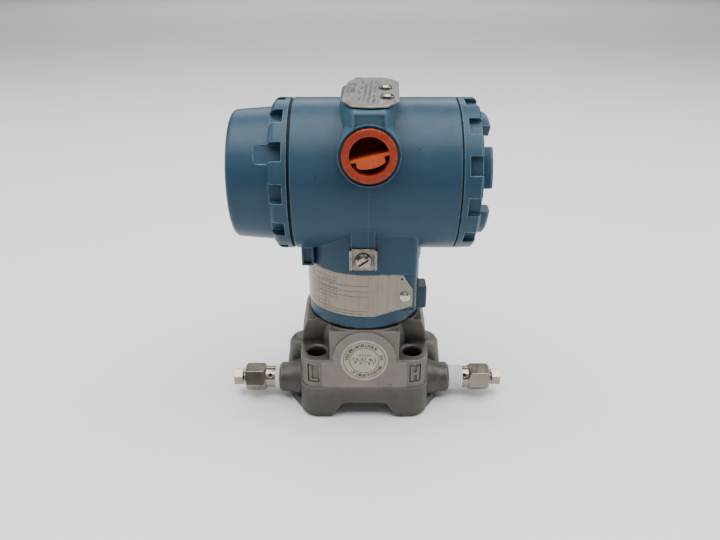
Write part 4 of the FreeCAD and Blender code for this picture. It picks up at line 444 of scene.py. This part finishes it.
def machined_steel(name, tint, roughness, streak=(1.0, 1.0, 1.0), engraving=None, stain=0.25,
                   sweep=0.0):
    """Turned or milled stainless steel: tool marks along the cut, scattered stains, and painted
    shade in the corners.
    """
    material, tree, shader = new_material(name, Metallic=1.0)
    point = object_point(tree)
    cut = add(tree, "Mapping", Vector=point, Scale=streak).outputs["Vector"]
    marks = noise(tree, cut, scale=260.0, detail=3.0, roughness=0.6)
    # Edges lighter from wear and from a painted highlight
    edges = use(tree, EDGE_WEAR_AND_HIGHLIGHT, Radius=0.00035, Amount=0.8)
    # Painted shade that darkens the corners
    crevice_shade = use(tree, CREVICE_SHADE, Reach=0.0030, Amount=0.75)
    stains = noise(tree, point, scale=150.0, detail=5.0, roughness=0.65)
    dull, bright = shade(tint, 0.60, 0.54, 0.46), shade(tint, 1.75, 1.75, 1.75)
    rubbed_and_highlit, crevice_shade_tone = colour(0.72, 0.69, 0.63), colour(0.020, 0.016, 0.012)
    engraved = colour(0.050, 0.042, 0.034)
    layers = [(ramp(tree, stains, low=0.45, high=0.75, to_high=stain), dull),
              (ramp(tree, marks, low=0.40, high=0.70, to_high=sweep), bright),
              (ramp(tree, marks, low=0.55, high=0.30, to_high=sweep), dull),
              (edges["Mask"], rubbed_and_highlit), (crevice_shade["Mask"], crevice_shade_tone)]
    if engraving is not None:
        layers.append((engraving(tree), engraved))
    finish(tree, shader, layered(tree, tint, layers),
           ramp(tree, marks, 0.3, 0.7, to_low=roughness - 0.05, to_high=roughness + 0.07),
           bump(tree, marks, distance=0.000008, strength=0.5, normal=edges["Normal"]))
    return material


def nameplate_lines(tree):
    """Ruled lines and rows of small strokes engraved round the curved nameplate."""
    axes = axes_of(tree, object_point(tree))
    angle = maths(tree, "ARCTAN2", axes["X"], times(tree, axes["Y"], -1.0))
    along, height = times(tree, angle, NAMEPLATE_R), axes["Z"]
    rules = []
    for level, left, right in NAMEPLATE_RULES:
        line = inside(tree, height, level - RULE_HALF, level + RULE_HALF, soft=0.00012)
        rules.append(times(tree, line, inside(tree, along, left, right)))
    rows = use(tree, ROWS, Along=along, Across=height, Pitch=0.00195, Stroke=0.00050, Height=0.5)
    fields = either(tree, [field(tree, along, height, bounds) for bounds in NAMEPLATE_FIELDS])
    rule_share, row_share = 0.9, 0.55
    return either(tree, [times(tree, either(tree, rules), rule_share),
                         times(tree, rows["Mask"], fields, row_share)])


def tag_rows(tree):
    """Rows of small strokes lengthwise on the top tag, and a block of bars at one side."""
    point = add(tree, "Mapping", Vector=object_point(tree), Rotation=(0.0, 0.0, -TAG_TURN))
    axes = axes_of(tree, point.outputs["Vector"])
    x, y = axes["X"], axes["Y"]
    rows = use(tree, ROWS, Along=y, Across=x, Pitch=0.0023, Stroke=0.0011, Height=0.55)["Mask"]
    bars = use(tree, ROWS, Along=x, Across=y, Pitch=0.0021, Stroke=0.0007, Height=0.75)["Mask"]
    bar_share, block_share, ink = 0.5, 0.35, 0.8
    bars = maths(tree, "ADD", times(tree, bars, bar_share), block_share)
    marks = either(tree, [times(tree, rows, field(tree, x, y, TAG_FIELD)),
                          times(tree, bars, field(tree, x, y, TAG_BLOCK))])
    return times(tree, marks, ink)


def label_foil():
    """Dull pinkish foil with a few scuffs and two tiny marks near its foot."""
    material, tree, shader = new_material("label_foil", Metallic=0.45)
    point = object_point(tree)
    axes = axes_of(tree, point)
    tone = noise(tree, point, scale=180.0, detail=5.0, roughness=0.6)
    foil = mix(tree, ramp(tree, tone, low=0.35, high=0.65), colour(0.155, 0.132, 0.123),
               colour(0.187, 0.162, 0.149))
    foot = times(tree, ramp(tree, axes["Z"], *LABEL_FOOT),
                 inside(tree, axes["X"], *LABEL_FOOT_X, soft=0.006))
    foot_share, mark_share = 0.35, 0.7
    marks = [times(tree, field(tree, axes["X"], axes["Z"], (bounds, LABEL_MARKS_Z)), mark_share)
             for bounds in LABEL_MARKS_X]
    reddened, ink = colour(0.36, 0.235, 0.215), colour(0.05, 0.04, 0.04)
    foil = layered(tree, foil, [(times(tree, foot, foot_share), reddened),
                                (either(tree, marks), ink)])
    finish(tree, shader, foil, ramp(tree, tone, 0.3, 0.7, to_low=0.40, to_high=0.52),
           bump(tree, tone, distance=0.00004, strength=0.5))
    return material


def drawn_line(tree, point, x, z):
    """Mask of a wavering line drawn across the sticker's middle."""
    waver, waves, height, slope, drop = 9.0, 2600.0, 0.0030, 0.07, 0.0004
    phase = times(tree, noise(tree, point, scale=260.0, detail=1.0, roughness=0.5), waver)
    wave = maths(tree, "SINE", maths(tree, "ADD", times(tree, x, waves), phase))
    sway = times(tree, noise(tree, point, scale=420.0, detail=1.0, roughness=0.5), height)
    line = maths(tree, "SUBTRACT", times(tree, wave, sway), times(tree, x, slope))
    off = maths(tree, "ADD", maths(tree, "SUBTRACT", z, line), drop)
    return times(tree, ramp(tree, maths(tree, "ABSOLUTE", off), low=0.00075, high=0.00045),
                 inside(tree, x, *STICKER_LINE_X))


def sticker_paper():
    """Cream paper disc with two printed rings, a band of bars, dashes and a drawn line."""
    material, tree, shader = new_material("sticker_paper")
    point = object_point(tree)
    axes = axes_of(tree, point)
    x, z = axes["X"], maths(tree, "SUBTRACT", axes["Z"], STICKER_Z)
    reach = distance(tree, x, z)
    rings = either(tree, [inside(tree, reach, radius - STICKER_RING_HALF,
                                 radius + STICKER_RING_HALF, soft=0.00012)
                          for radius in STICKER_RINGS])
    around = times(tree, maths(tree, "ARCTAN2", x, z), STICKER_BAND_R)
    outward = maths(tree, "SUBTRACT", reach, STICKER_BAND[0])
    bars = use(tree, ROWS, Along=around, Across=outward, Pitch=0.010, Stroke=0.00055, Height=1.0)
    bars = times(tree, bars["Mask"], inside(tree, reach, *STICKER_BAND))
    dashes = use(tree, ROWS, Along=x, Across=z, Pitch=0.010, Stroke=0.00050, Height=1.0)
    dashes = times(tree, dashes["Mask"], field(tree, x, z, STICKER_DASHES))
    shares = ((rings, 0.9), (bars, 0.95), (dashes, 0.7), (drawn_line(tree, point, x, z), 0.9))
    ink = either(tree, [times(tree, mark, share) for mark, share in shares])
    fibres = noise(tree, point, scale=160.0, detail=5.0, roughness=0.6)
    paper = mix(tree, ramp(tree, fibres, low=0.35, high=0.7), colour(0.33, 0.300, 0.232),
                colour(0.40, 0.370, 0.292))
    relief = noise(tree, point, scale=1500.0, detail=3.0, roughness=0.6)
    finish(tree, shader, mix(tree, ink, paper, colour(0.035, 0.032, 0.030)), 0.6,
           bump(tree, relief, distance=0.00002, strength=0.4))
    return material


def plug_plastic():
    """Orange polyethylene plug; painted shade makes it darker and redder down in its hollow, and a
    painted highlight brightens its web.
    """
    material, tree, shader = new_material("plug_plastic", Specular_IOR_Level=0.28,
                                          Subsurface_Weight=0.10, Subsurface_Scale=0.004)
    grain = use(tree, GRAIN, Fine_Scale=1100.0, Broad_Scale=260.0, Broad_Share=0.8)
    # Edges lighter from wear and from a painted highlight
    edges = use(tree, EDGE_WEAR_AND_HIGHLIGHT, Radius=0.0005, Amount=0.65)
    # Painted shade that darkens the hollow
    crevice_shade = use(tree, CREVICE_SHADE, Reach=0.0090, Amount=1.0)
    axes = axes_of(tree, object_point(tree))
    inward = maths(tree, "SUBTRACT", PLUG_FACE, maths(tree, "ABSOLUTE", axes["Y"]))
    deep = ramp(tree, inward, *PLUG_HOLLOW)
    upper = ramp(tree, maths(tree, "SUBTRACT", axes["Z"], PLUG_Z), low=-0.0030, high=0.0030,
                 to_low=0.12)
    # Painted shade deep in the hollow, strongest in its upper half
    hollow = times(tree, deep, upper, ramp(tree, crevice_shade["Mask"], low=0.05, high=0.45))
    grip_highlight_share, deep_roughness = 0.6, 0.85
    # Painted highlight: the grip is made brighter orange where it catches the light
    grip_highlight = times(tree, inside(tree, inward, *PLUG_GRIP), grip_highlight_share)
    orange = mix(tree, grain["Patches"], colour(0.25, 0.017, 0.0006), colour(0.31, 0.025, 0.0012))
    rubbed_and_highlit, bright = colour(0.62, 0.16, 0.04), colour(0.66, 0.092, 0.010)
    shadowed = colour(0.070, 0.005, 0.003)
    orange = layered(tree, orange, [(edges["Mask"], rubbed_and_highlit), (grip_highlight, bright), (hollow, shadowed)])
    sheen = ramp(tree, grain["Patches"], 0.0, 1.0, to_low=0.20, to_high=0.32)
    finish(tree, shader, orange, either(tree, [sheen, times(tree, deep, deep_roughness)]),
           bump(tree, grain["Height"], distance=0.00005, strength=0.5, normal=edges["Normal"]))
    return material


def seal_rubber():
    """Black nitrile rubber, slightly dusty."""
    material, tree, shader = new_material("seal_rubber", Specular_IOR_Level=0.15)
    grain = use(tree, GRAIN, Fine_Scale=1200.0, Broad_Scale=200.0, Broad_Share=0.5)
    black = mix(tree, grain["Patches"], colour(0.0015, 0.0015, 0.0015),
                colour(0.0030, 0.0030, 0.0028))
    finish(tree, shader, black, ramp(tree, grain["Patches"], 0.0, 1.0, to_low=0.5, to_high=0.7),
           bump(tree, grain["Height"], distance=0.00004, strength=0.5))
    return material


def black_plastic():
    """Injection-moulded plastic with a faint sheen and uneven tone."""
    material, tree, shader = new_material("black_plastic")
    grain = use(tree, GRAIN, Fine_Scale=1100.0, Broad_Scale=260.0, Broad_Share=0.8)
    # Edges lighter from wear and from a painted highlight
    edges = use(tree, EDGE_WEAR_AND_HIGHLIGHT, Radius=0.0003, Amount=0.35)
    dark, light = colour(0.012, 0.012, 0.013), colour(0.022, 0.022, 0.024)
    tone = layered(tree, mix(tree, grain["Patches"], dark, light),
                   [(edges["Mask"], shade(light, 1.25, 1.6, 1.7))])
    finish(tree, shader, tone, ramp(tree, grain["Patches"], 0.0, 1.0, to_low=0.40, to_high=0.52),
           bump(tree, grain["Height"], distance=0.00005, strength=0.5, normal=edges["Normal"]))
    return material


def thread_tape():
    """White sealing tape wound round a thread, greyer in the joints between its wraps."""
    material, tree, shader = new_material("thread_tape")
    point = object_point(tree)
    drawn = add(tree, "Mapping", Vector=point, Scale=(3.0, 0.8, 0.8)).outputs["Vector"]
    weave = noise(tree, drawn, scale=700.0, detail=5.0, roughness=0.7)
    out = maths(tree, "ABSOLUTE", axes_of(tree, point)["X"])
    wraps = maths(tree, "DIVIDE", maths(tree, "SUBTRACT", out, TAPE_START), TAPE_PITCH)
    half_wrap, joint_share = 0.5, 0.75
    off_middle = maths(tree, "SUBTRACT", maths(tree, "FRACT", wraps), half_wrap)
    joint = ramp(tree, maths(tree, "ABSOLUTE", off_middle), low=0.32, high=0.46)
    white = mix(tree, ramp(tree, weave, low=0.35, high=0.7), colour(0.60, 0.58, 0.55),
                colour(0.86, 0.85, 0.83))
    white = mix(tree, times(tree, joint, joint_share), white, colour(0.30, 0.285, 0.265))
    finish(tree, shader, white, ramp(tree, weave, 0.3, 0.7, to_low=0.50, to_high=0.68),
           bump(tree, weave, distance=0.00012, strength=0.7))
    return material


def window_glass():
    """Clear glass with faint smears."""
    material, tree, shader = new_material("window_glass", Roughness=0.02, IOR=1.5,
                                          Transmission_Weight=1.0)
    smear = noise(tree, object_point(tree), scale=90.0, detail=4.0, roughness=0.6)
    tone = mix(tree, ramp(tree, smear, low=0.4, high=0.7), colour(0.90, 0.95, 0.94),
               colour(0.97, 0.99, 0.98))
    feed(tree, shader.inputs["Base Color"], tone)
    return material


def plain_surface(name, dark, light, roughness, metallic=0.0):
    """Simple two-tone surface for what lies inside."""
    material, tree, shader = new_material(name, Metallic=metallic)
    uneven = noise(tree, object_point(tree), scale=300.0, detail=4.0, roughness=0.6)
    tone = mix(tree, ramp(tree, uneven, low=0.35, high=0.65), dark, light)
    finish(tree, shader, tone,
           ramp(tree, uneven, 0.3, 0.7, to_low=roughness - 0.05, to_high=roughness + 0.05),
           bump(tree, uneven, distance=0.00003, strength=0.5))
    return material


HOUSING_PAINT = polyester_paint("housing_paint", edge_wear_and_highlight=0.50)
COVER_PAINT = polyester_paint("cover_paint", edge_wear_and_highlight=0.95)
FLANGE_STEEL = cast_steel("flange_casting", FLANGE_SHADED_DARK, FLANGE_SHADED_LIGHT)
MODULE_STEEL = cast_steel("module_casting", MODULE_DARK, MODULE_LIGHT)
VENT_STEEL = machined_steel("vent_steel", colour(0.30, 0.262, 0.215), 0.22,
                            streak=(0.5, 0.5, 0.5), stain=0.14, sweep=0.18)
SCREW_STEEL = machined_steel("screw_steel", colour(0.26, 0.235, 0.195), 0.24, sweep=0.4)
# The rivet's steel is lighter than the screws' as a painted highlight on its dome
HIGHLIT_RIVET_STEEL = machined_steel("rivet_steel", colour(0.46, 0.44, 0.40), 0.22)
CLAMP_STEEL = machined_steel("clamp_steel", colour(0.16, 0.143, 0.12), 0.24,
                             streak=(1.5, 1.0, 1.5), stain=0.5, sweep=0.7)
PLATE_STEEL = machined_steel("nameplate_steel", colour(0.205, 0.180, 0.148), 0.28,
                             streak=(2.6, 2.6, 0.04), engraving=nameplate_lines, stain=0.22,
                             sweep=0.18)
TAG_STEEL = machined_steel("tag_steel", colour(0.30, 0.295, 0.275), 0.34,
                           streak=(3.0, 0.4, 1.0), engraving=tag_rows, stain=0.3, sweep=0.35)
BOLT_STEEL = machined_steel("bolt_steel", colour(0.050, 0.044, 0.038), 0.42)
HIDDEN_STEEL = machined_steel("hidden_steel", colour(0.55, 0.54, 0.52), 0.30)
RUBBER = seal_rubber()
PLUG = plug_plastic()
BLACK_PLASTIC = black_plastic()
TAPE = thread_tape()
GLASS = window_glass()
BOARD = plain_surface("circuit_board", colour(0.010, 0.070, 0.030), colour(0.016, 0.105, 0.045),
                      0.35)
LCD = plain_surface("lcd", colour(0.20, 0.24, 0.18), colour(0.24, 0.28, 0.21), 0.18)
PTFE = plain_surface("process_seal", colour(0.70, 0.70, 0.68), colour(0.80, 0.80, 0.78), 0.5)
BRASS = plain_surface("terminal_brass", colour(0.58, 0.42, 0.18), colour(0.68, 0.50, 0.22), 0.28,
                      metallic=1.0)
LABEL = label_foil()
PAPER = sticker_paper()

FINISHES = {
    "process_flange": FLANGE_STEEL,
    "sensor_module": MODULE_STEEL,
    "flange_bolts": BOLT_STEEL,
    "isolating_diaphragms": HIDDEN_STEEL,
    "process_seals": PTFE,
    "sensor_capsule": HIDDEN_STEEL,
    "sensor_board": BOARD,
    "neck_seal": RUBBER,
    "module_label": LABEL,
    "inspection_sticker": PAPER,
    "housing_body": HOUSING_PAINT,
    "rotation_set_screw": HIDDEN_STEEL,
    "nameplate": PLATE_STEEL,
    "nameplate_rivets": HIGHLIT_RIVET_STEEL,
    "top_tag": TAG_STEEL,
    "tag_screws": SCREW_STEEL,
    "ground_clamp": CLAMP_STEEL,
    "ground_screw": SCREW_STEEL,
    "display_cover": COVER_PAINT,
    "display_cover_seal": RUBBER,
    "window_gasket": RUBBER,
    "window_glass": GLASS,
    "window_ring": BLACK_PLASTIC,
    "terminal_cover": COVER_PAINT,
    "terminal_cover_seal": RUBBER,
    "front_conduit_plug": PLUG,
    "rear_conduit_plug": PLUG,
    "electronics_board": BOARD,
    "board_screws": HIDDEN_STEEL,
    "display_module": BLACK_PLASTIC,
    "lcd_glass": LCD,
    "terminal_block": BLACK_PLASTIC,
    "terminal_screws": BRASS,
    "block_screws": HIDDEN_STEEL,
    "left_vent_body": VENT_STEEL,
    "right_vent_body": VENT_STEEL,
    "left_vent_stem": VENT_STEEL,
    "right_vent_stem": VENT_STEEL,
    "left_vent_ball": HIDDEN_STEEL,
    "right_vent_ball": HIDDEN_STEEL,
    "left_thread_tape": TAPE,
    "right_thread_tape": TAPE,
}
for node, material in FINISHES.items():
    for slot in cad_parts[node].material_slots:
        slot.material = material


# ------------------------------------------------------------------ thread tape
TAPE_SIDES = 72
TAPE_WALL = 0.0004
SMOOTH_ANGLE = math.radians(50.0)

# Rings of vertices in a wrap, the share of their spacing in which one is picked, how far those
# between joint and crown dip beside the joint's own sink, and the unevenness of every ring
RINGS_IN_WRAP = 4
RING_REACH = 0.25
MIDWAY_DIP = 0.35
TAPE_WOBBLE = 0.00006

# Each vent's tape, how deep its joints sink and its seed
WOUND_TAPES = (("left_thread_tape", 0.00012, 3), ("right_thread_tape", 0.00045, 8))


def settle(piece):
    """Leaves a piece's place in its mesh, with its object at the origin."""
    bpy.ops.object.select_all(action="DESELECT")
    piece.select_set(True)
    bpy.context.view_layer.objects.active = piece
    bpy.ops.object.transform_apply(location=True, rotation=True, scale=True)


def draw_in_ring(piece, middle, reach, share):
    """Draws the vertices of one ring in towards the vent's line."""
    bpy.ops.object.mode_set(mode="EDIT")
    bpy.ops.mesh.select_mode(type="VERT")
    bpy.ops.mesh.select_all(action="DESELECT")
    bpy.ops.object.mode_set(mode="OBJECT")
    for vertex in piece.data.vertices:
        vertex.select = abs(vertex.co.x - middle[X]) < reach
    bpy.ops.object.mode_set(mode="EDIT")
    bpy.ops.transform.resize(value=(1.0, share, share), center_override=middle)


def wound_tape(node, wraps, sink, seed):
    """White tape wound round a vent's thread, wrap beside wrap, in place of its smooth solid."""
    chance = random.Random(seed)
    low, high = (Vector(corner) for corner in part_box(node))
    middle = (low + high) / 2
    radius, length = (high.z - low.z) / 2, high.x - low.x
    rings = wraps * RINGS_IN_WRAP
    step = length / rings
    bpy.ops.object.select_all(action="DESELECT")
    bpy.ops.mesh.primitive_cylinder_add(vertices=TAPE_SIDES, radius=radius, depth=length,
                                        end_fill_type="NOTHING", location=middle,
                                        rotation=(0.0, math.pi / 2, 0.0))
    piece = bpy.context.object
    piece.name = node.replace("_thread_tape", "_wound_tape")
    settle(piece)
    bpy.ops.object.mode_set(mode="EDIT")
    for index in range(1, rings):
        bpy.ops.mesh.select_all(action="SELECT")
        bpy.ops.mesh.bisect(plane_co=(low.x + index * step, middle.y, middle.z),
                            plane_no=(1.0, 0.0, 0.0))
    bpy.ops.object.mode_set(mode="OBJECT")
    for index in range(rings + 1):
        dip = 1.0 if index % RINGS_IN_WRAP == 0 else MIDWAY_DIP * (index % 2)
        depth = sink * dip + TAPE_WOBBLE * chance.random()
        draw_in_ring(piece, (low.x + index * step, middle.y, middle.z), step * RING_REACH,
                     1.0 - depth / radius)
    bpy.ops.object.mode_set(mode="OBJECT")
    wall = piece.modifiers.new("wall", "SOLIDIFY")
    wall.thickness = TAPE_WALL
    wall.offset = -1.0
    bpy.ops.object.modifier_apply(modifier="wall")
    bpy.ops.object.shade_smooth_by_angle(angle=SMOOTH_ANGLE)
    piece.data.materials.clear()
    piece.data.materials.append(TAPE)
    return piece


for node, sink, seed in WOUND_TAPES:
    tape = wound_tape(node, TAPE_WRAPS[node], sink, seed)
    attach(tape, "base")
    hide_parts(node)


# ------------------------------------------------------------------ floor, light and camera
OBJECT_MIDDLE = (0.0, 0.0, 0.1)
FLOOR_SIZE = 8.0
FLOOR_MIDDLE = (0.0, 2.0, 0.0)
SKY = colour(0.93, 0.95, 1.0)
SKY_STRENGTH = 0.18
CAMERA_PLACE = (-0.0024, -0.3308, 0.2378)
CAMERA_TILT = math.radians(64.45)
CAMERA_LENS = 32.0
CAMERA_SENSOR = 36.0

# Each light's name, place, aim, size and watts
LIGHTS = (
    ("ceiling", (0.0, -0.15, 1.5), OBJECT_MIDDLE, (2.0, 1.4), 52.0),
    ("back_ceiling", (0.0, 4.2, 2.6), (0.0, 3.6, 0.0), (4.0, 1.6), 90.0),
    ("left_window", (-1.3, 0.2, 0.7), OBJECT_MIDDLE, (0.8, 0.8), 6.0),
    ("front_fill", (0.0, -1.7, 1.1), OBJECT_MIDDLE, (1.6, 1.0), 2.5),
    ("right_window", (1.3, 0.1, 0.7), OBJECT_MIDDLE, (0.8, 0.8), 9.0),
)


def make_floor():
    """Plain pale floor that reaches past the view on all sides."""
    bpy.ops.object.select_all(action="DESELECT")
    bpy.ops.mesh.primitive_plane_add(size=FLOOR_SIZE, location=FLOOR_MIDDLE)
    floor = bpy.context.object
    floor.name = "floor"
    material, tree, shader = new_material("floor", Roughness=0.55)
    tone = noise(tree, object_point(tree), scale=3.0, detail=2.0, roughness=0.5)
    pale = mix(tree, tone, colour(0.80, 0.80, 0.80), colour(0.83, 0.83, 0.83))
    feed(tree, shader.inputs["Base Color"], pale)
    floor.data.materials.append(material)


def make_world():
    """Even pale surroundings."""
    world = bpy.data.worlds.new("studio")
    world.use_nodes = True
    background = world.node_tree.nodes["Background"]
    background.inputs["Color"].default_value = SKY
    background.inputs["Strength"].default_value = SKY_STRENGTH
    bpy.context.scene.world = world


def area_light(name, place, aim, size, watts):
    """Soft rectangular light that faces a point."""
    data = bpy.data.lights.new(name, "AREA")
    data.shape = "RECTANGLE"
    data.size, data.size_y = size
    data.energy = watts
    light = bpy.data.objects.new(name, data)
    light.location = place
    light.rotation_euler = (Vector(aim) - Vector(place)).to_track_quat("-Z", "Y").to_euler()
    bpy.context.scene.collection.objects.link(light)


def make_camera():
    """Camera in front of the object and a little above it, tilted down."""
    data = bpy.data.cameras.new("camera")
    data.sensor_width = CAMERA_SENSOR
    data.lens = CAMERA_LENS
    camera = bpy.data.objects.new("camera", data)
    camera.location = CAMERA_PLACE
    camera.rotation_euler = (CAMERA_TILT, 0.0, 0.0)
    bpy.context.scene.collection.objects.link(camera)
    bpy.context.scene.camera = camera


make_floor()
make_world()
for light in LIGHTS:
    area_light(*light)
make_camera()
